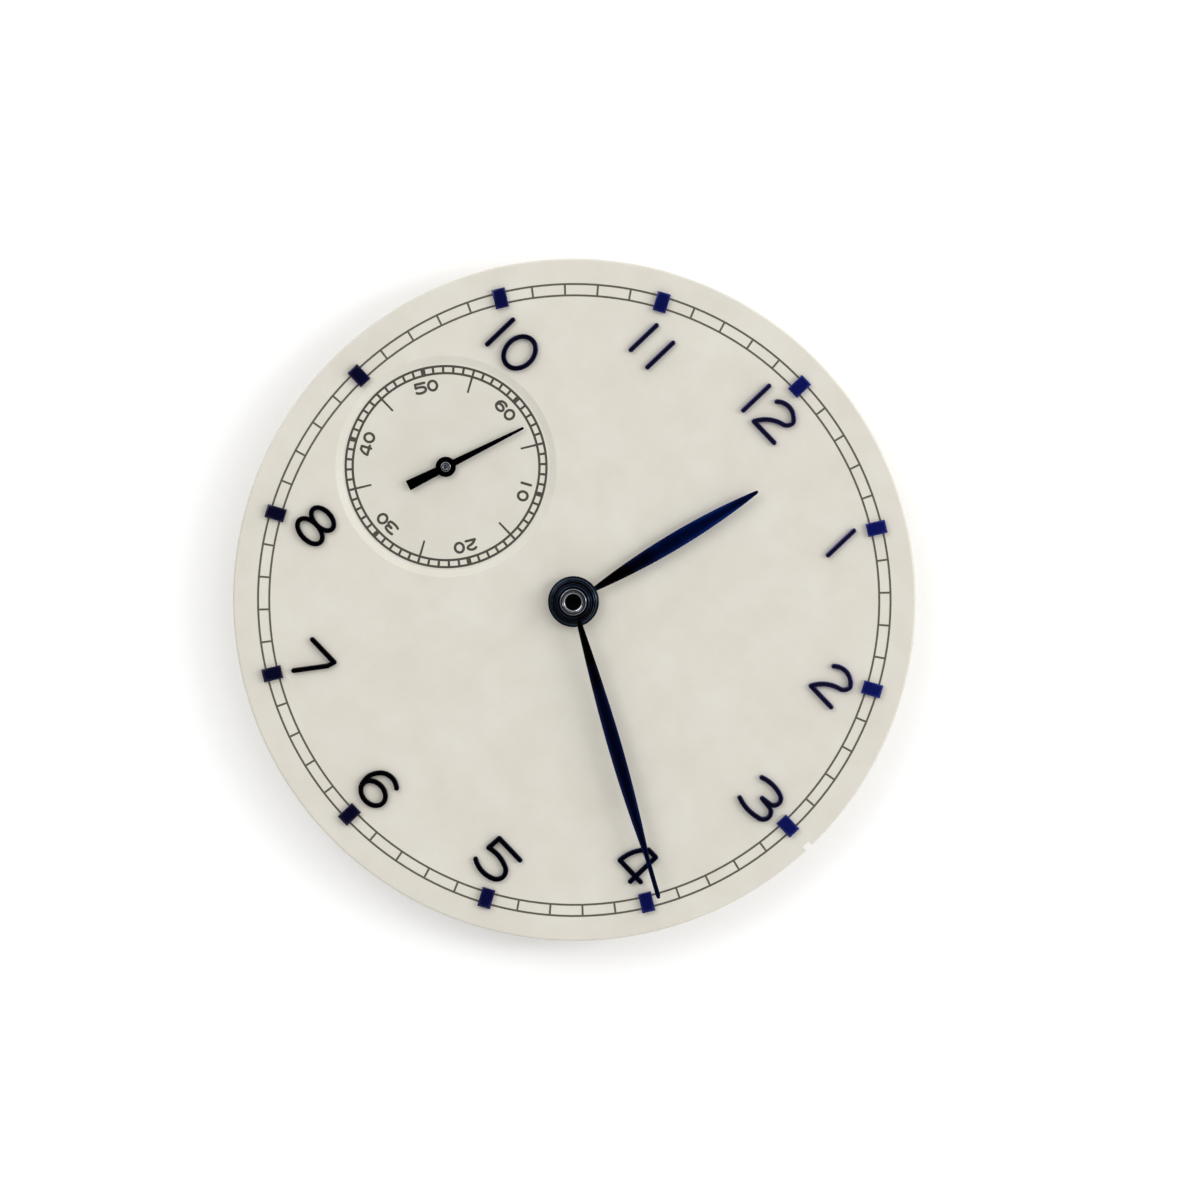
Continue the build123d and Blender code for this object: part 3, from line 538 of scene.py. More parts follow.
# dial plate
def makeDial():
    low, top = dialLow.z - overrun, dialTop + overrun
    base = ring(dial["centreHole"], dialRadius, dialLow.z, dialTop, 288)
    soften(base, dial["edgeRound"], 6, where=atRadius(dialRadius, middleAxis, dialTop))
    soften(base, dial["holeRound"], 2, where=atRadius(dial["centreHole"], middleAxis, dialTop))
    floorRadius, rimRadius = dial["recessRadius"], dial["recessRadius"] + dial["recessSlope"]
    recess = turned([
        (0, recessFloor), (floorRadius, recessFloor), (rimRadius, dialTop), (rimRadius, top), (0, top),
    ], 192, secondsCentre)
    hole = plug(dial["secondsHole"], low, top, secondsCentre, 48)
    notchHalf = dial["notchWidth"] / 2
    notch = block((dialRadius - dial["notchDepth"], -notchHalf, low), (dialRadius + overrun, notchHalf, top))
    bm = cut(base, recess, hole, notch, merged=True)
    faceOutward(bm)
    for radius, level in ((rimRadius, dialTop), (floorRadius, recessFloor)):
        soften(bm, dial["recessRound"], 3, 20, atRadius(radius, secondsCentre, level))
    return bm


finishPiece(makeDial(), "dialFace", "dial_plate", dialLacquer)
print("dial made")


# printed tracks
minuteTrack = {
    "inner": 17.37, "outer": 18.01, "line": 0.11, "wide": 0.70, "every": 5, "thickness": 0.010,
}
secondsTrack = {
    "inner": 5.32, "outer": 5.72, "line": 0.13, "wide": 0.26, "every": 10, "thickness": 0.008,
    "longInner": 4.38, "numberRadius": 4.66, "numberHeight": 0.54, "numberStroke": 0.145,
    "wideShare": 1.15, "stepShare": 1.30,
}
tickCount = 60


def trackSheet(track, moreRows, gapSteps, unwanted):
    # a ladder of rings: one column of faces for each tick and for each gap between ticks
    half = track["line"] / 2
    rows = moreRows + [track[key] + side for key in ("inner", "outer") for side in (-half, half)]
    middle = (track["inner"] + track["outer"]) / 2
    turns = [track["line"] / middle] * tickCount
    turns[::track["every"]] = [track["wide"] / middle] * (tickCount // track["every"])
    bm = bmesh.new()
    geom = chain(bm, [(radius, 0, 0) for radius in rows])
    bmesh.ops.rotate(bm, cent=(0, 0, 0), matrix=Matrix.Rotation(-turns[0] / 2, 3, "Z"), verts=bm.verts)
    holes = []
    for index, turn in enumerate(turns):
        gap = 2 * pi / tickCount - (turn + turns[(index + 1) % tickCount]) / 2
        for column, angle, steps in ((2 * index, turn, 1), (2 * index + 1, gap, gapSteps)):
            before = set(bm.faces)
            geom = spin(bm, geom, angle, steps)
            for face in bm.faces:
                radius = face.calc_center_median().xy.length
                row = sum(radius > edge for edge in rows) - 1
                if face not in before and unwanted(column, row):
                    holes.append(face)
    weld(bm)
    bmesh.ops.delete(bm, geom=holes, context="FACES")
    return bm


def makeMinuteTrack():  # open at the hour markers
    perHour = 2 * minuteTrack["every"]
    bm = trackSheet(minuteTrack, [], 3, lambda column, row: (
        column % perHour == 0 or (column % 2 and row == 1)
    ))
    thicken(bm, dialTop, dialTop + minuteTrack["thickness"])
    return bm


finishPiece(makeMinuteTrack(), "minuteTrack", "minute_track_print", minuteInk)


# figures drawn with one even stroke, in shares of their height
figureRunShares = {
    "0": [],
    "1": [[[(0, 0.5), (0, -0.5)]]],
    "2": [[
        [(-0.376, 0.354), (0.033, 0.5), (0.376, 0.283)],
        [(0.376, 0.283), (0.341, 0.136), (0.184, 0.030)],
        [(0.184, 0.030), (-0.24, -0.235), (-0.417, -0.5)],
        [(-0.417, -0.5), (0.417, -0.5)],
    ]],
    "3": [
        [
            [(-0.474, 0.417), (-0.094, 0.5), (0.245, 0.453)],
            [(0.245, 0.453), (0.396, 0.266), (0.255, 0.0625)],
            [(0.255, 0.0625), (-0.036, 0.016)],
        ],
        [
            [(-0.036, 0.016), (0.255, -0.005)],
            [(0.255, -0.005), (0.484, -0.234), (0.271, -0.448)],
            [(0.271, -0.448), (-0.094, -0.5), (-0.484, -0.432)],
        ],
    ],
    "4": [
        [[(0.218, 0.5), (0.218, -0.5)]],
        [
            [(0.218, 0.5), (-0.074, 0.5)],
            [(-0.074, 0.5), (-0.29, 0.218), (-0.428, -0.299)],
            [(-0.428, -0.299), (0.428, -0.299)],
        ],
    ],
    "5": [[
        [(0.443, 0.5), (-0.417, 0.5)],
        [(-0.417, 0.5), (-0.433, 0.096)],
        [(-0.433, 0.096), (-0.06, 0.142), (0.262, 0.07)],
        [(0.262, 0.07), (0.453, -0.174), (0.313, -0.412)],
        [(0.313, -0.412), (0.023, -0.5), (-0.453, -0.396)],
    ]],
    "6": [[
        [(0.386, 0.388), (0.05, 0.5), (-0.30, 0.30)],
        [(-0.30, 0.30), (-0.42, -0.034), (-0.333, -0.34)],
    ]],
    "7": [[
        [(-0.449, 0.5), (0.449, 0.5)],
        [(0.449, 0.5), (0.395, 0.295)],
        [(0.395, 0.295), (-0.176, -0.5)],
    ]],
    "8": [],
}
figureLoopShares = {  # centre x, centre y, half width, half height
    "0": [(0, 0, 0.398, 0.5)],
    "6": [(0.027, -0.194, 0.393, 0.308)],
    "8": [(0, 0.262, 0.391, 0.238), (0, -0.238, 0.433, 0.262)],
}
cornerAngle, stepAngle = radians(40), radians(7)
capSteps, loopSteps = 10, 64


def signedAngle(first, second):  # anticlockwise from first to second
    return atan2(first.cross(second), first.dot(second))


def arcThrough(first, middle, last):  # centre and signed turn of the arc through three points
    a, b, c = (Vector(point) for point in (first, middle, last))
    doubled = 2 * ((b - a).cross(c - a))
    ab, ac = (b - a).length_squared, (c - a).length_squared
    centre = a + Vector((
        ((c - a).y * ab - (b - a).y * ac) / doubled,
        ((b - a).x * ac - (c - a).x * ab) / doubled,
    ))
    turn = signedAngle(a - centre, c - centre)
    side = 1 if doubled > 0 else -1
    return centre, turn if turn * side > 0 else turn + side * 2 * pi


def headings(stretch):  # the directions in which a stretch starts and ends
    if len(stretch) == 2:
        way = (Vector(stretch[1]) - Vector(stretch[0])).normalized()
        return way, way
    centre, turn = arcThrough(*stretch)
    side = 1 if turn > 0 else -1
    return tuple(
        ((Vector(point) - centre).orthogonal() * side).normalized() for point in (stretch[0], stretch[-1])
    )


def smoothRuns(run):  # cuts a run where it turns a sharp corner
    parts = [[run[0]]]
    for before, after in zip(run, run[1:]):
        if abs(signedAngle(headings(before)[1], headings(after)[0])) > cornerAngle:
            parts.append([])
        parts[-1].append(after)
    return parts


def strokeSheet(run, half):
    bm = bmesh.new()
    start, way = Vector(run[0][0]), headings(run[0])[0]
    rightSide = chain(bm, [(*start, 0), (*(start + Vector((way.y, -way.x)) * half), 0)])
    leftSide = spin(bm, rightSide, -pi, capSteps, start)
    for stretch in run:
        first, last = Vector(stretch[0]), Vector(stretch[-1])
        begins, ends = headings(stretch)
        miter = Matrix.Rotation(signedAngle(way, begins) / 2, 3, "Z")
        bmesh.ops.rotate(bm, cent=(*first, 0), matrix=miter, verts=vertsOf(rightSide + leftSide))
        if len(stretch) == 2:
            moves = {"angle": 0, "steps": 1, "centre": first, "dvec": (*(last - first), 0)}
        else:
            centre, turn = arcThrough(*stretch)
            moves = {"angle": turn, "steps": max(2, ceil(abs(turn) / stepAngle)), "centre": centre}
        rightSide, leftSide = (spin(bm, side, **moves) for side in (rightSide, leftSide))
        bmesh.ops.rotate(bm, cent=(*last, 0), matrix=miter, verts=vertsOf(rightSide + leftSide))
        way = ends
    spin(bm, leftSide, -pi, capSteps, Vector(run[-1][-1]))
    weld(bm)
    return bm


def loopSheet(loop, half):  # an even band round an oval
    x, y, halfWide, halfTall = loop
    bm = bmesh.new()
    unit, band = 1, 0.25
    geom = chain(bm, [(unit + offset, 0, 0) for offset in (-band, 0, band)])
    spin(bm, geom, 2 * pi, loopSteps, use_merge=True)
    weld(bm)
    for vert in bm.verts:
        radius = vert.co.length
        outward = (radius - unit) / band * half
        vert.co = (
            x + (halfWide + outward) * vert.co.x / radius,
            y + (halfTall + outward) * vert.co.y / radius, 0,
        )
    return bm


def figureSolid(sign, height, stroke, low, high, wideShare=1, edgeRound=0):
    wide = height * wideShare
    solids = []
    for run in figureRunShares[sign]:
        sized = [[(x * wide, y * height) for x, y in stretch] for stretch in run]
        solids += [strokeSheet(smooth, stroke / 2) for smooth in smoothRuns(sized)]
    for x, y, halfWide, halfTall in figureLoopShares.get(sign, []):
        solids.append(loopSheet((x * wide, y * height, halfWide * wide, halfTall * height), stroke / 2))
    for solid in solids:
        thicken(solid, low, high)
        if edgeRound:
            soften(solid, edgeRound, where=above(low))
    return fuse(*solids) if len(solids) > 1 else solids[0]


def addNumber(bm, number, step, lift, **figure):  # figures side by side, step apart
    for place, sign in enumerate(number):
        solid = figureSolid(sign, **figure)
        moveMesh(solid, (place - (len(number) - 1) / 2) * step, lift)
        addTo(bm, solid)


def makeSecondsTrack():
    height, thickness = secondsTrack["numberHeight"], secondsTrack["thickness"]
    perLong = 2 * secondsTrack["every"]
    bm = trackSheet(secondsTrack, [secondsTrack["longInner"]], 2, lambda column, row: (
        (row == 0 and column % perLong != perLong / 2) or (row == 2 and column % 2)
    ))
    rotateMesh(bm, 90)
    thicken(bm, recessFloor, recessFloor + thickness)
    for index, number in enumerate(["60", "10", "20", "30", "40", "50"]):
        figures = bmesh.new()
        addNumber(
            figures, number, secondsTrack["stepShare"] * height, secondsTrack["numberRadius"],
            height=height, stroke=secondsTrack["numberStroke"], low=0, high=thickness,
            wideShare=secondsTrack["wideShare"],
        )
        turnTo(figures, index * 60, middleAxis, recessFloor)
        addTo(bm, figures)
    moveMesh(bm, *secondsCentre)
    return bm


finishPiece(makeSecondsTrack(), "secondsTrack", "seconds_track_print", secondsInk)
print("tracks printed")


# applied hour markers
marker = {
    "length": 1.12, "width": 0.76, "slopeWidth": 0.17, "slopeDrop": 0.032, "edgeRound": 0.022,
    "trackRadius": 17.69,
}


def makeMarker(hour, rise):
    halfWide, halfLong = marker["width"] / 2, marker["length"] / 2
    bm = block((-halfWide, -halfLong, 0), (halfWide, halfLong, rise - marker["slopeDrop"]))
    top = max(bm.faces, key=lambda face: face.calc_center_median().z)
    bmesh.ops.inset_region(
        bm, faces=[top], thickness=marker["slopeWidth"], depth=marker["slopeDrop"], use_even_offset=True,
    )
    soften(bm, marker["edgeRound"], where=lambda edge: max(vert.co.z for vert in edge.verts) > 0)
    soften(bm, marker["slopeWidth"] / 3, 3, 5, above(rise - marker["slopeDrop"] / 2))
    moveMesh(bm, 0, marker["trackRadius"])
    turnTo(bm, hour * 30, middleAxis, dialTop)
    return bm


for hour in range(1, 13):
    node = f"hour_marker_{hour:02d}"
    bm = makeMarker(hour, levels(node)[1] - dialTop)
    finishPiece(bm, f"marker{hour:02d}", node, markerBluePaintedReflection)
print("markers set")


# applied numerals
numerals = {"height": 2.00, "stroke": 0.29, "edgeRound": 0.05}
numeralStepShares = {"10": 0.80, "11": 0.68, "12": 0.85}  # between two figures, in shares of the height


def makeNumeral(name, node):
    low, high = nodeBox(node)
    bm = bmesh.new()
    step = numeralStepShares.get(name, 0) * numerals["height"]
    addNumber(bm, name, step, 0, low=dialTop, high=high.z, **numerals)
    made = [vert.co for vert in bm.verts]
    middle = [(min(co[axis] for co in made) + max(co[axis] for co in made)) / 2 for axis in range(2)]
    moveMesh(bm, *(nodeCentre(node) - Vector(middle)))
    return bm


for name in ["1", "2", "3", "4", "5", "6", "7", "8", "10", "11", "12"]:
    node = "numeral_" + name
    finishPiece(makeNumeral(name, node), "numeral" + name, node, numeralBluePaintedReflection)
print("numerals set")


# hands
hourHand = {
    "length": 12.20, "width": 0.945, "widest": 6.7, "root": 0.29, "rootPower": 2.0, "tip": 0.17,
    "leafEnd": 12.20, "hub": 1.45, "bore": 1.205, "angle": 12.7, "hubStep": 1.33,
}
minuteHand = {
    "length": 17.55, "width": 0.797, "widest": 8.3, "root": 0.27, "rootPower": 1.7, "tip": 0.262,
    "leafEnd": 15.10, "hub": 1.05, "bore": 0.755, "angle": 117.5, "hubStep": 0.93,
}
blade = {
    "edge": 0.095, "crown": 0.14, "crownShare": 2.4, "across": 10, "along": 90, "tipShare": 0.55,
    "tipReach": 0.10, "hubRound": 0.025, "stepDrop": 0.045,
}


def bladeHalfWidth(hand, distance):  # a leaf, narrowing from its widest place to its root and its tip
    if distance > hand["widest"]:
        share = min(1, (distance - hand["widest"]) / (hand["leafEnd"] - hand["widest"]))
        full = hand["width"] - (hand["width"] - hand["tip"]) * share ** 2
    else:
        share = (hand["widest"] - distance) / (hand["widest"] - hand["hub"])
        full = hand["width"] - (hand["width"] - hand["root"]) * share ** hand["rootPower"]
    blunted = blade["tipShare"] + (1 - blade["tipShare"]) * (hand["length"] - distance) / blade["tipReach"]
    return full / 2 * min(1, blunted)


def makeBlade(hand):
    bm = bmesh.new()
    bmesh.ops.create_grid(bm, x_segments=blade["across"], y_segments=blade["along"], size=0.5)
    start = hand["hub"] - hand["root"] / 2
    for vert in bm.verts:
        across, along = 2 * vert.co.x, vert.co.y + 0.5
        distance = start + along * (hand["length"] - start)
        half = bladeHalfWidth(hand, distance)
        fullness = min(1, blade["crownShare"] * half / hand["width"])
        crown = (blade["crown"] - blade["edge"]) * fullness * (1 - across ** 2)
        vert.co = (across * half, distance, blade["edge"] + crown)
    for vert in extrudedVerts(bm):
        vert.co.z = 0
    faceOutward(bm)
    return bm


def makeHand(hand, low, high):
    thickness, step = high - low, blade["stepDrop"]
    hub = turned([
        (hand["bore"], 0), (hand["hub"], 0), (hand["hub"], thickness - step),
        (hand["hubStep"], thickness - step), (hand["hubStep"] - step, thickness), (hand["bore"], thickness),
    ], 128)
    soften(hub, blade["hubRound"], 3, 40)
    bm = cut(fuse(hub, makeBlade(hand)), plug(hand["bore"], -reach, reach, middleAxis, 128))
    turnTo(bm, hand["angle"], middleAxis, low)
    return bm


hourBlue = makeBlued("hourBlue", [
    (0.11, hubTone), (0.15, black), (0.28, black), (0.42, navy), (0.56, blue), (0.88, blue), (0.97, navy),
], 0, hourHand["length"], middleAxis, hourHand["angle"])
minuteBlue = makeBlued("minuteBlue", [
    (0.05, minuteHubTone), (0.09, black), (0.18, black), (0.35, navy), (0.60, (0.0035, 0.0090, 0.062)),
    (0.80, navy), (0.97, (0.0035, 0.0110, 0.060)),
], 0, minuteHand["length"], middleAxis, minuteHand["angle"])
for name, hand, node, material, body in [
    ("hourHand", hourHand, "hour_hand", hourBlue, "hour_pipe"),
    ("minuteHand", minuteHand, "minute_hand", minuteBlue, "minute_arbor"),
]:
    finishPiece(makeHand(hand, *levels(node)), name, node, material, body)
print("leaf hands made")

secondsHand = {
    "length": 4.95, "tail": 2.40, "root": 0.425, "tip": 0.145, "tailWidth": 0.61, "tailRoot": 0.44,
    "hub": 0.58, "bore": 0.285, "angle": 17, "edgeRound": 0.02,
}


def barSolid(near, far, distance, thickness):  # a flat tapering bar from the axis
    bm = polygon([(-near / 2, 0), (near / 2, 0), (far / 2, distance), (-far / 2, distance)])
    thicken(bm, 0, thickness)
    soften(bm, secondsHand["edgeRound"], 2, where=above(0))
    return bm


def makeSecondsHand():
    low, high = levels("seconds_hand")
    hub = plug(secondsHand["hub"], 0, high - low, middleAxis, 96)
    soften(hub, secondsHand["edgeRound"], 2)
    pointer = barSolid(secondsHand["root"], secondsHand["tip"], secondsHand["length"], high - low)
    tail = barSolid(secondsHand["tailRoot"], secondsHand["tailWidth"], -secondsHand["tail"], high - low)
    bm = cut(fuse(hub, pointer, tail), plug(secondsHand["bore"], -reach, reach))
    turnTo(bm, secondsHand["angle"], secondsCentre, low)
    return bm


secondsBlue = makeBlued("secondsBlue", [(0, black), (0.9, (0.0030, 0.0040, 0.012))], 0, 5, secondsCentre, 17)
finishPiece(
    makeSecondsHand(), "secondsHand", "seconds_hand", secondsBlue, "seconds_arbor_set",
)


# hub bushes, and the pipe and bush of the same plain form
bushes = {"edgeRound": 0.03, "minuteInner": 0.585, "minuteOuter": 0.75, "minuteRound": 0.035}


def makeBush(node, inner, outer, steps, segments, centre):
    bm = ring(inner, outer, *levels(node), steps, centre)
    soften(bm, bushes["edgeRound"], segments)
    return bm


def makeMinuteBush(node):
    low, high = levels(node)
    bm = ring(bushes["minuteInner"], bushes["minuteOuter"], low, high)
    soften(bm, bushes["minuteRound"], 4, where=atRadius(bushes["minuteOuter"], middleAxis, high))
    soften(bm, bushes["edgeRound"] / 2, 2, where=atRadius(bushes["minuteInner"], middleAxis, high))
    return bm


for name, node, form, slotName, material, body in [
    ("hourBush", "hour_hand_bush", (1.01, 1.20, 128, 3, middleAxis), "blued_steel", bushBlue, "hour_pipe"),
    ("secondsPipe", "seconds_hand_pipe", (0.14, 0.28, 64, 3, secondsCentre), "polished_steel", secondsSteel,
     "seconds_arbor_set"),
    ("centreBush", "centre_bush", (0.63, 1.05, 96, 2, middleAxis), "gilt_brass", giltBrass, "movement_plate"),
]:
    finishPiece(makeBush(node, *form), name, node, material, body)
finishPiece(
    makeMinuteBush("minute_hand_bush"), "minuteBush", "minute_hand_bush", polishedSteel,
    "minute_arbor",
)
print("bushes pressed in")


# wheels, pinions and arbors
toothForms = {
    "wheel": {"half": 0.70, "tip": 0.90, "root": 1.15},
    "pinion": {"half": 0.54, "tip": 0.61, "root": 1.35},
}
gearing = {
    "toothSize": 0.17, "secondsToothSize": 0.13, "cannonTeeth": 12, "minuteTeeth": 36,
    "minutePinionTeeth": 10, "hourTeeth": 40, "secondsTeeth": 10, "edgeRound": 0.012,
}
hourToothSize = 2 * postCentre.x / (gearing["hourTeeth"] + gearing["minutePinionTeeth"])


def toothed(teeth, toothSize, kind, low, high, phase=0):  # the first tooth points at phase degrees from +X
    form = toothForms[kind]
    pitch = teeth * toothSize / 2
    tip = pitch + form["tip"] * toothSize
    root = pitch - form["root"] * toothSize
    half = form["half"] * toothSize
    halfRoot = half * root / pitch
    foot = root - halfRoot / 4
    tooth = polygon([(foot, -halfRoot), (tip, -half), (tip, half), (foot, halfRoot)])
    tips = [vert for vert in tooth.verts if vert.co.x > pitch]
    bmesh.ops.bevel(
        tooth, geom=tips, offset=min(tip - pitch, half * 0.95), segments=4, profile=0.5,
        affect="VERTICES", material=-1,
    )
    thicken(tooth, low, high)
    geom = tooth.verts[:] + tooth.edges[:] + tooth.faces[:]
    spin(tooth, geom, 2 * pi / teeth * (teeth - 1), teeth - 1, use_duplicate=True)
    faceOutward(tooth)
    bm = fuse(plug(root, low, high, middleAxis, 144), tooth)
    rotateMesh(bm, phase)
    return bm


arbors = {
    "pinionHeight": 0.40, "centreJournal": 0.60, "centreArbor": 0.38, "arborRound": 0.06,
    "cannonPipe": 0.75, "minuteSeat": 0.575, "mouth": 0.47, "mouthLip": 0.07, "lipDrop": 0.026,
    "hourBoss": 1.50, "hourBossHeight": 0.25, "hourPipe": 1.00, "hourBore": 0.78,
    "wheelThickness": 0.20, "wheelSeat": 0.45, "postBore": 0.33, "leafGap": 0.04, "boreOverlap": 0.20,
    "secondsJournal": 0.20, "secondsPivot": 0.13, "journalTop": 1.05, "pivotRound": 0.05, "seatOverlap": 0.05,
}


def makeArbor(node, teeth, toothSize, journal, shoulder, upper, corner, steps):
    low, high = levels(node)
    leaves = toothed(teeth, toothSize, "pinion", low, low + arbors["pinionHeight"])
    soften(leaves, gearing["edgeRound"], 1, 60)
    stem = turned([
        (0, low), (journal, low), (journal, shoulder), (upper, shoulder), (upper, high - corner),
        (upper - corner, high), (0, high),
    ], steps)
    return fuse(leaves, stem)


def makeCentreArbor():
    return makeArbor(
        "centre_arbor", gearing["cannonTeeth"], gearing["toothSize"], arbors["centreJournal"],
        levels("cannon_pinion")[0], arbors["centreArbor"], arbors["arborRound"], 96,
    )


def makeCannonPinion():
    low, high = levels("cannon_pinion")
    leafTop = levels("hour_wheel")[0] - arbors["leafGap"]
    seat, floor = levels("minute_hand_bush")[0], levels("centre_arbor")[1]
    leaves = toothed(gearing["cannonTeeth"], gearing["toothSize"], "pinion", low, leafTop)
    width, tight = arbors["mouth"], arbors["centreArbor"]
    pipe = turned([
        (tight, low), (arbors["cannonPipe"], low), (arbors["cannonPipe"], seat),
        (arbors["minuteSeat"], seat), (arbors["minuteSeat"], high), (width + arbors["mouthLip"], high),
        (width, high - arbors["lipDrop"]), (width, floor), (tight, floor),
    ], 128)
    bore = plug(tight, low - reach, leafTop + arbors["boreOverlap"], middleAxis, 128)
    return fuse(cut(leaves, bore, merged=True), pipe, merged=True)


def makeHourWheel():
    low, high = levels("hour_wheel")
    top = low + arbors["wheelThickness"]
    bossTop = top + arbors["hourBossHeight"]
    teeth = toothed(gearing["hourTeeth"], hourToothSize, "wheel", low, top, 180 / gearing["hourTeeth"])
    pipe = turned([
        (0, low), (arbors["hourBoss"], low), (arbors["hourBoss"], bossTop), (arbors["hourPipe"], bossTop),
        (arbors["hourPipe"], high), (0, high),
    ], 128)
    bm = cut(fuse(teeth, pipe), plug(arbors["hourBore"], low - reach, high + reach, middleAxis, 128))
    soften(bm, gearing["edgeRound"], 2, 60, atRadius(arbors["hourPipe"], middleAxis, high))
    return bm


def makeMinuteWheel():
    low, high = levels("minute_wheel")
    phase = 180 + 180 / gearing["minuteTeeth"]
    teeth = toothed(gearing["minuteTeeth"], gearing["toothSize"], "wheel", low, high, phase)
    bm = cut(teeth, plug(arbors["wheelSeat"], low - reach, high + reach, middleAxis, 96))
    moveMesh(bm, *postCentre)
    return bm


def makeMinutePinion():
    low, high = levels("minute_pinion")
    collar = low + arbors["wheelThickness"]
    leaves = toothed(gearing["minutePinionTeeth"], hourToothSize, "pinion", collar, high, 180)
    seat = plug(arbors["wheelSeat"], low, collar + arbors["seatOverlap"], middleAxis, 96)
    bm = cut(fuse(leaves, seat), plug(arbors["postBore"], low - reach, high + reach, middleAxis, 96))
    moveMesh(bm, *postCentre)
    return bm


def makeSecondsArbor():
    bm = makeArbor(
        "seconds_arbor", gearing["secondsTeeth"], gearing["secondsToothSize"], arbors["secondsJournal"],
        arbors["journalTop"], arbors["secondsPivot"], arbors["pivotRound"], 64,
    )
    moveMesh(bm, *secondsCentre)
    return bm


for maker, name, node, slotName, material, body in [
    (makeCentreArbor, "centreArbor", "centre_arbor", "polished_steel", polishedSteel, "minute_arbor"),
    (makeCannonPinion, "cannonPinion", "cannon_pinion", "polished_steel", polishedSteel, "minute_arbor"),
    (makeHourWheel, "hourWheel", "hour_wheel", "gilt_brass", giltBrass, "hour_pipe"),
    (makeMinuteWheel, "minuteWheel", "minute_wheel", "gilt_brass", minuteBrass, "minute_wheel_set"),
    (makeMinutePinion, "minutePinion", "minute_pinion", "polished_steel", pinionSteel, "minute_wheel_set"),
    (makeSecondsArbor, "secondsArbor", "seconds_arbor", "polished_steel", secondsSteel, "seconds_arbor_set"),
]:
    finishPiece(maker(), name, node, material, body)
print("wheels and arbors cut")


# main plate and what is set in it
plate = {
    "chamfer": 0.15, "worksDepth": 1.50, "worksClearance": 0.40, "fitGap": 0.01, "screwGap": 0.02,
    "bridgeFootLength": 2.20, "bridgeFootWidth": 4.60, "bridgeCorner": 0.35, "bridgeGap": 0.10,
    "bridgeScrewRadius": 0.25, "bridgeScrewDepth": 0.94, "bridgeScrewSpacing": 2.80,
    "postRadius": 0.30, "postDepth": 0.45, "bushRadius": 1.05,
    "centreWell": 1.75, "centreWellDepth": 0.50, "secondsWell": 1.20, "secondsWellDepth": 0.60,
    "secondsJewelRadius": 0.70, "secondsJewelThickness": 0.30, "secondsJewelBore": 0.22, "secondsSink": 0.42,
    "recessDepth": 0.35, "jewelRadius": 0.60, "jewelThickness": 0.30, "jewelBore": 0.10, "jewelBacking": 0.35,
    "jewelRound": 0.03, "cupShare": 0.45, "bridgeHoleRadius": 0.35, "bridgeHoleDepth": 1.10,
    "footRadius": 0.44, "footDepth": 1.84, "footMargin": 1.90, "footAngle": 62, "footScrewRadius": 0.30,
    "footScrewHead": 0.50, "footHeadGap": 0.04, "footScrewInset": 0.08, "footHeadLength": 0.35,
    "footScrewDrop": 0.90, "caseMargin": 1.50, "caseHoleRadius": 0.60, "caseHoleDepth": 1.40,
    "caseAngle": 105, "edgeSlope": 0.06,
}


def onPlate(*shares):
    return [Vector(share) * plateRadius for share in shares]


def roundPlaces(radius, angle):  # two places opposite each other
    return [
        Vector((radius * cos(radians(turn)), radius * sin(radians(turn)))) for turn in (angle, angle + 180)
    ]


recesses = list(zip(onPlate((0.300, 0.430), (-0.197, -0.546), (-0.470, 0.190)), (7.20, 5.60, 4.60)))
jewelPlaces = onPlate((-0.306, 0.251), (-0.601, -0.240), (-0.437, -0.393), (-0.197, -0.546))
bridgeHoles = onPlate(
    (0.765, 0.150), (0.150, 0.870), (-0.230, 0.610), (-0.790, 0.270), (-0.560, -0.640), (0.210, -0.560),
)
casePlaces = roundPlaces(plateRadius - plate["caseMargin"], plate["caseAngle"])
footCircle = plateRadius - plate["footMargin"]
screwLevel = plateHigh.z - plate["footScrewDrop"]


def layOnSide(bm, angle):  # from along +Z to along a radius of the plate, at the foot screws' level
    rotateMesh(bm, 90, "Y")
    rotateMesh(bm, angle)
    moveMesh(bm, 0, 0, screwLevel)
    return bm


def makeBridgePocket(top):
    low, high = nodeBox("minute_wheel_bridge")
    gap, half = plate["bridgeGap"], plate["bridgeFootWidth"] / 2 + plate["bridgeGap"]
    near = high.x - plate["bridgeFootLength"] - gap
    pocket = block((near, -half, low.z), (high.x + gap, half, top))
    soften(pocket, plate["bridgeCorner"], 6, where=lambda side: side.verts[0].co.xy == side.verts[1].co.xy)
    return pocket


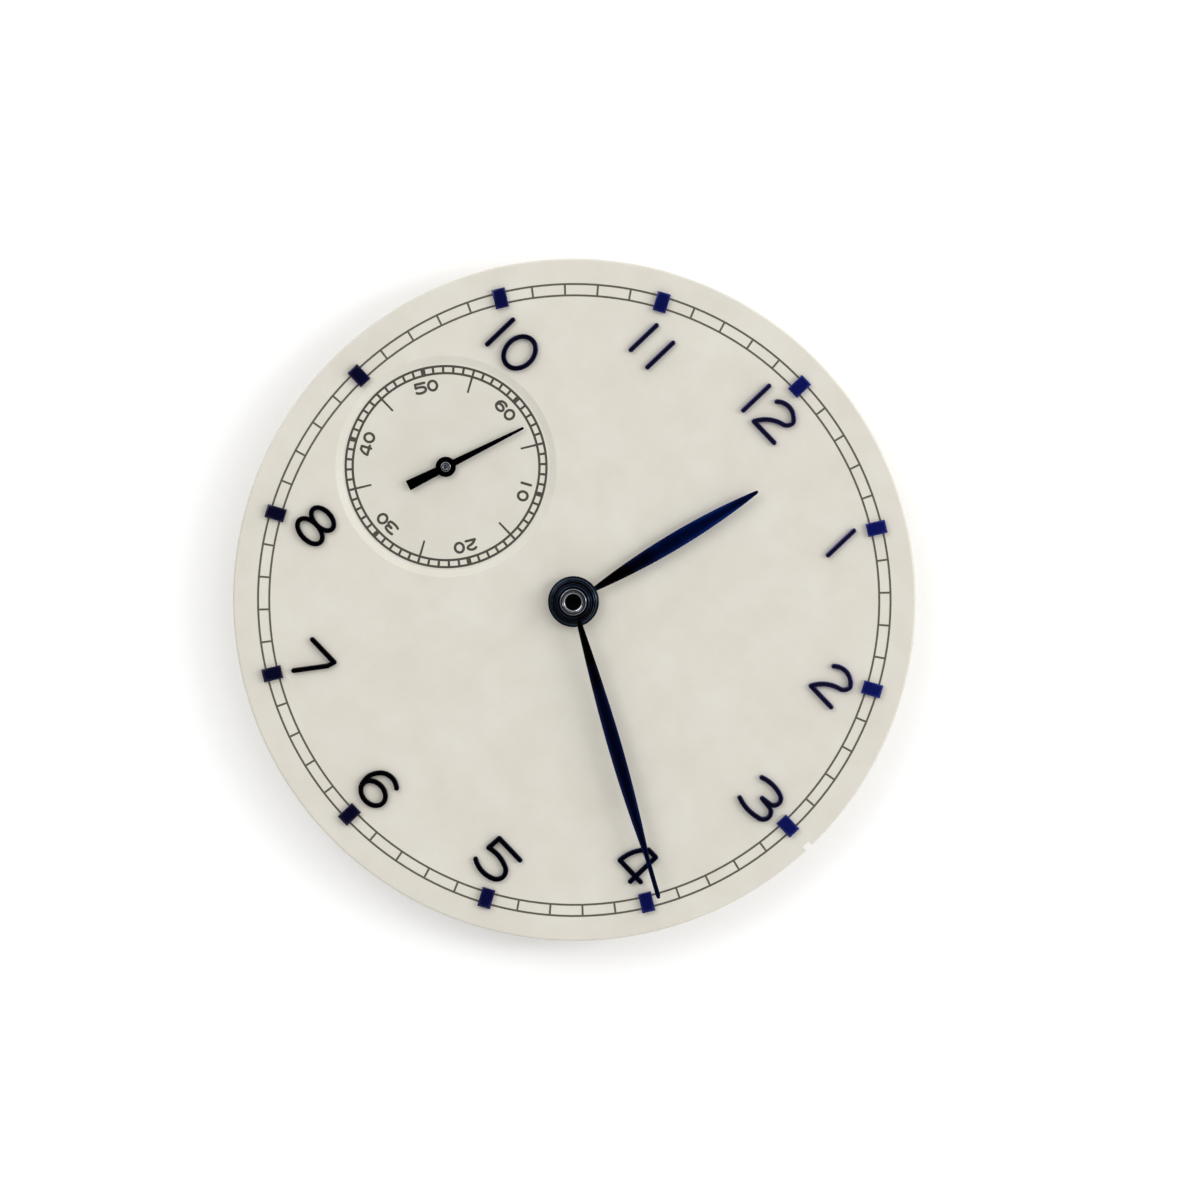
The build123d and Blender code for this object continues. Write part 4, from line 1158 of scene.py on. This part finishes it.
def makePlateCuts():
    low, top = plateLow.z, plateHigh.z
    under, over = low - overrun, top + overrun
    gap, recessDepth, works = plate["fitGap"], plate["recessDepth"], top - plate["worksDepth"]

    def fromAbove(radius, floor, place=middleAxis, steps=64):
        return plug(radius, floor, over, place, steps)

    def fromBelow(radius, depth, place=middleAxis, steps=64):
        return plug(radius, under, low + depth, place, steps)

    cuts = [
        fromAbove(nodeBox("hour_wheel")[1].y + plate["worksClearance"], works, middleAxis, 128),
        fromAbove(nodeBox("minute_wheel")[1].y + plate["worksClearance"], works, postCentre, 128),
        makeBridgePocket(over),
        fromAbove(plate["postRadius"] + gap, works - plate["postDepth"], postCentre),
        fromAbove(plate["bushRadius"] + gap, under),
        fromBelow(plate["centreWell"], plate["centreWellDepth"], middleAxis, 96),
        fromBelow(plate["secondsWell"], plate["secondsWellDepth"], secondsCentre, 96),
        fromBelow(
            plate["secondsJewelRadius"] + gap, plate["secondsWellDepth"] + plate["secondsJewelThickness"],
            secondsCentre,
        ),
        fromAbove(plate["secondsSink"], under, secondsCentre),
    ]
    screwFloor = levels("minute_wheel_bridge")[0] - plate["bridgeScrewDepth"]
    for side in (-1, 1):
        spot = (nodeCentre("minute_bridge_screws").x, side * plate["bridgeScrewSpacing"] / 2)
        cuts.append(fromAbove(plate["bridgeScrewRadius"] + plate["screwGap"], screwFloor, spot, 48))
    cuts += [fromBelow(radius, recessDepth, spot, 144) for spot, radius in recesses]
    for spot in jewelPlaces:
        cuts.append(fromBelow(plate["jewelRadius"] + gap, recessDepth + plate["jewelThickness"], spot))
        cuts.append(plug(plate["jewelBacking"], under, works, spot))
    cuts += [fromBelow(plate["bridgeHoleRadius"], plate["bridgeHoleDepth"], spot) for spot in bridgeHoles]
    for spot in roundPlaces(footCircle, plate["footAngle"]):
        cuts.append(fromAbove(plate["footRadius"], top - plate["footDepth"], spot))
    shaft, head = plate["footScrewRadius"] + plate["screwGap"], plate["footScrewHead"] + plate["footHeadGap"]
    headFloor = plateRadius - plate["footHeadLength"] - plate["footScrewInset"]
    for angle in (plate["footAngle"], plate["footAngle"] + 180):
        for radius, start, end in ((shaft, footCircle, overrun), (head, headFloor, reach)):
            cuts.append(layOnSide(plug(radius, start, plateRadius + end, middleAxis, 48), angle))
    return cuts + [fromBelow(plate["caseHoleRadius"], plate["caseHoleDepth"], spot) for spot in casePlaces]


def makeMainPlate():
    low, top, edge = plateLow.z, plateHigh.z, plate["chamfer"]
    base = turned([
        (0, low), (plateRadius - edge, low), (plateRadius, low + edge), (plateRadius, top - edge),
        (plateRadius - edge, top), (0, top),
    ], 288)
    bm = cut(base, *makePlateCuts(), merged=True)
    rims = [(middleAxis, plate["centreWell"]), (secondsCentre, plate["secondsWell"])]
    rims += [(spot, plate["bridgeHoleRadius"]) for spot in bridgeHoles]
    rims += [(spot, plate["caseHoleRadius"]) for spot in casePlaces]
    for spot, radius in rims + recesses:
        soften(bm, plate["edgeSlope"], 2, where=atRadius(radius, spot, low))
    seat, level = plate["jewelRadius"] + plate["fitGap"], low + plate["recessDepth"]
    for spot in jewelPlaces:
        soften(bm, plate["edgeSlope"], 2, where=atRadius(seat, spot, level, 0.005))
    return bm


def makeJewels(node, radius, bore, places):  # rings with a rounded hollow towards the hole
    low, high = levels(node)
    cup = (radius - bore) * plate["cupShare"]
    bm = bmesh.new()
    for centre in places:
        jewel = turned([
            (bore, low + cup / 3), (bore + cup, low), (radius, low), (radius, high), (bore, high),
        ], 64, centre)
        soften(jewel, plate["jewelRound"], 3, 20)
        addTo(bm, jewel)
    return bm


footScrew = {"slotWidth": 0.12, "slotDepth": 0.08, "edgeRound": 0.05}


def makeFootScrews():  # slotted heads let into the rim
    outer = plateRadius - plate["footScrewInset"]
    inner = footCircle + plate["footRadius"] - plate["footHeadGap"]
    shaft, head, neck = plate["footScrewRadius"], plate["footScrewHead"], outer - plate["footHeadLength"]
    halfSlot = footScrew["slotWidth"] / 2
    bm = bmesh.new()
    for angle in (plate["footAngle"], plate["footAngle"] + 180):
        screw = turned([
            (0, inner), (shaft, inner), (shaft, neck), (head, neck), (head, outer), (0, outer),
        ], 64)
        soften(screw, footScrew["edgeRound"], where=atRadius(head, middleAxis, outer))
        slot = block((-halfSlot, -reach, outer - footScrew["slotDepth"]), (halfSlot, reach, outer + reach))
        addTo(bm, layOnSide(cut(screw, slot), angle))
    return bm


trainJewels = makeJewels("train_jewels", plate["jewelRadius"], plate["jewelBore"], jewelPlaces)
secondsJewel = makeJewels(
    "seconds_jewel", plate["secondsJewelRadius"], plate["secondsJewelBore"], [secondsCentre],
)
finishPiece(makeMainPlate(), "mainPlate", "main_plate", platedBrass)
finishPiece(trainJewels, "trainJewels", "train_jewels", ruby)
finishPiece(secondsJewel, "secondsJewel", "seconds_jewel", ruby)
finishPiece(makeFootScrews(), "footScrews", "dial_foot_screws", screwSteel)
print("main plate made")

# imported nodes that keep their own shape
finishes = {
    "dial_feet": copper,
    "minute_wheel_post": grainedSteel,
    "minute_wheel_bridge": grainedSteel,
    "minute_bridge_screws": screwSteel,
    "dial_washer": bronze,
}
for node, material in finishes.items():
    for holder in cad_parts[node].material_slots:
        holder.material = material
print("packed nodes finished")


# stage, lamps and camera
stage = {"floorSize": 1.2, "floorDrop": 0.00002, "floorTone": (0.93, 0.93, 0.93), "whitening": 0.22}


def makeStage():
    bm = bmesh.new()
    bmesh.ops.create_grid(bm, x_segments=1, y_segments=1, size=stage["floorSize"] / 2)
    floor = asObject(bm, "floor")
    floor.location.z = cadLow.z - stage["floorDrop"]
    material = newMaterial("floorPaper", stage["floorTone"], 0, 0.9)
    floor.data.materials.append(material)
    rays = addNode(material, "LightPath").outputs
    seen = calculate(
        material, "ADD", rays["Is Camera Ray"], rays["Is Glossy Ray"], rays["Is Transmission Ray"],
    )
    feed(material, "Emission Color", (1, 1, 1, 1))
    feed(material, "Emission Strength", calculate(material, "MULTIPLY", seen, stage["whitening"]))


picture = {
    "pixels": 1200, "dialCentre": (573.8, 601.1), "dialRadius": 341.7, "tilt": 3.0,
    "roll": 46.4,        # 12 o'clock, clockwise from straight up in the picture
    "leanTo": (-0.36, 0.93), "distance": 0.25, "sensor": 36, "clip": (0.005, 10),
}
roll = radians(picture["roll"])
pictureUp = Vector((-sin(roll), cos(roll), 0))
pictureRight = Vector((cos(roll), sin(roll), 0))
faceCentre = Vector((0, 0, dialTop * millimetre))


def makeCamera():
    perPixel = dialRadius * millimetre / picture["dialRadius"]
    right, down = (picture["pixels"] / 2 - place for place in picture["dialCentre"])
    target = faceCentre + pictureRight * right * perPixel - pictureUp * down * perPixel
    tilt = radians(picture["tilt"])
    lean = Vector((*picture["leanTo"], 0)).normalized() * sin(tilt)
    back = (lean + Vector((0, 0, cos(tilt)))).normalized()
    camera = placed("camera", bpy.data.cameras.new("camera"))
    camera.data.sensor_width = picture["sensor"]
    camera.data.lens = picture["sensor"] * picture["distance"] / (picture["pixels"] * perPixel)
    camera.data.clip_start, camera.data.clip_end = picture["clip"]
    side = pictureUp.cross(back).normalized()
    turn = Matrix((side, back.cross(side), back)).transposed()
    camera.matrix_world = Matrix.Translation(target + back * picture["distance"]) @ turn.to_4x4()
    bpy.context.scene.camera = camera


lamps = [
    {"name": "key", "right": -0.22, "up": 0.20, "height": 0.34, "size": (0.26, 0.26), "power": 0.44},
    {"name": "window", "right": 0.29, "up": 0.05, "height": 0.21, "size": (0.08, 0.20), "power": 0.30},
]
studio = {
    "strengths": (0.36, 1.24),   # from the dim side of the room to the window side
    "windowSide": (0.90, 0.43),  # picture right, picture up
    "lensShare": 0.08,           # the dark lens overhead, which flat polished steel mirrors
    "lensCosines": (0.91, 0.97),
}


def makeLamps():
    for lamp in lamps:
        light = bpy.data.lights.new(lamp["name"], "AREA")
        light.shape = "RECTANGLE"
        light.size, light.size_y = lamp["size"]
        light.energy = lamp["power"]
        holder = placed(lamp["name"], light)
        place = pictureRight * lamp["right"] + pictureUp * lamp["up"] + Vector((0, 0, lamp["height"]))
        holder.location = place
        holder.rotation_mode = "QUATERNION"
        holder.rotation_quaternion = (faceCentre - place).to_track_quat("-Z", "Y")


def makeStudio():
    world = bpy.data.worlds.new("studio")
    world.use_nodes = True
    direction = addNode(world, "TexCoord").outputs["Generated"]
    side = pictureRight * studio["windowSide"][0] + pictureUp * studio["windowSide"][1]
    towards = addNode(world, "VectorMath", {0: direction, 1: side}, operation="DOT_PRODUCT").outputs["Value"]
    room = spread(world, towards, *studio["strengths"], -1, 1)
    lens = spread(world, part(world, direction, "Z"), 1, studio["lensShare"], *studio["lensCosines"])
    feed(world, "Color", (1, 1, 1, 1), "Background")
    feed(world, "Strength", calculate(world, "MULTIPLY", room, lens), "Background")
    bpy.context.scene.world = world


makeStage()
makeCamera()
makeLamps()
makeStudio()
bpy.context.scene.view_settings.view_transform = "Standard"
print("stage, camera and lamps placed")
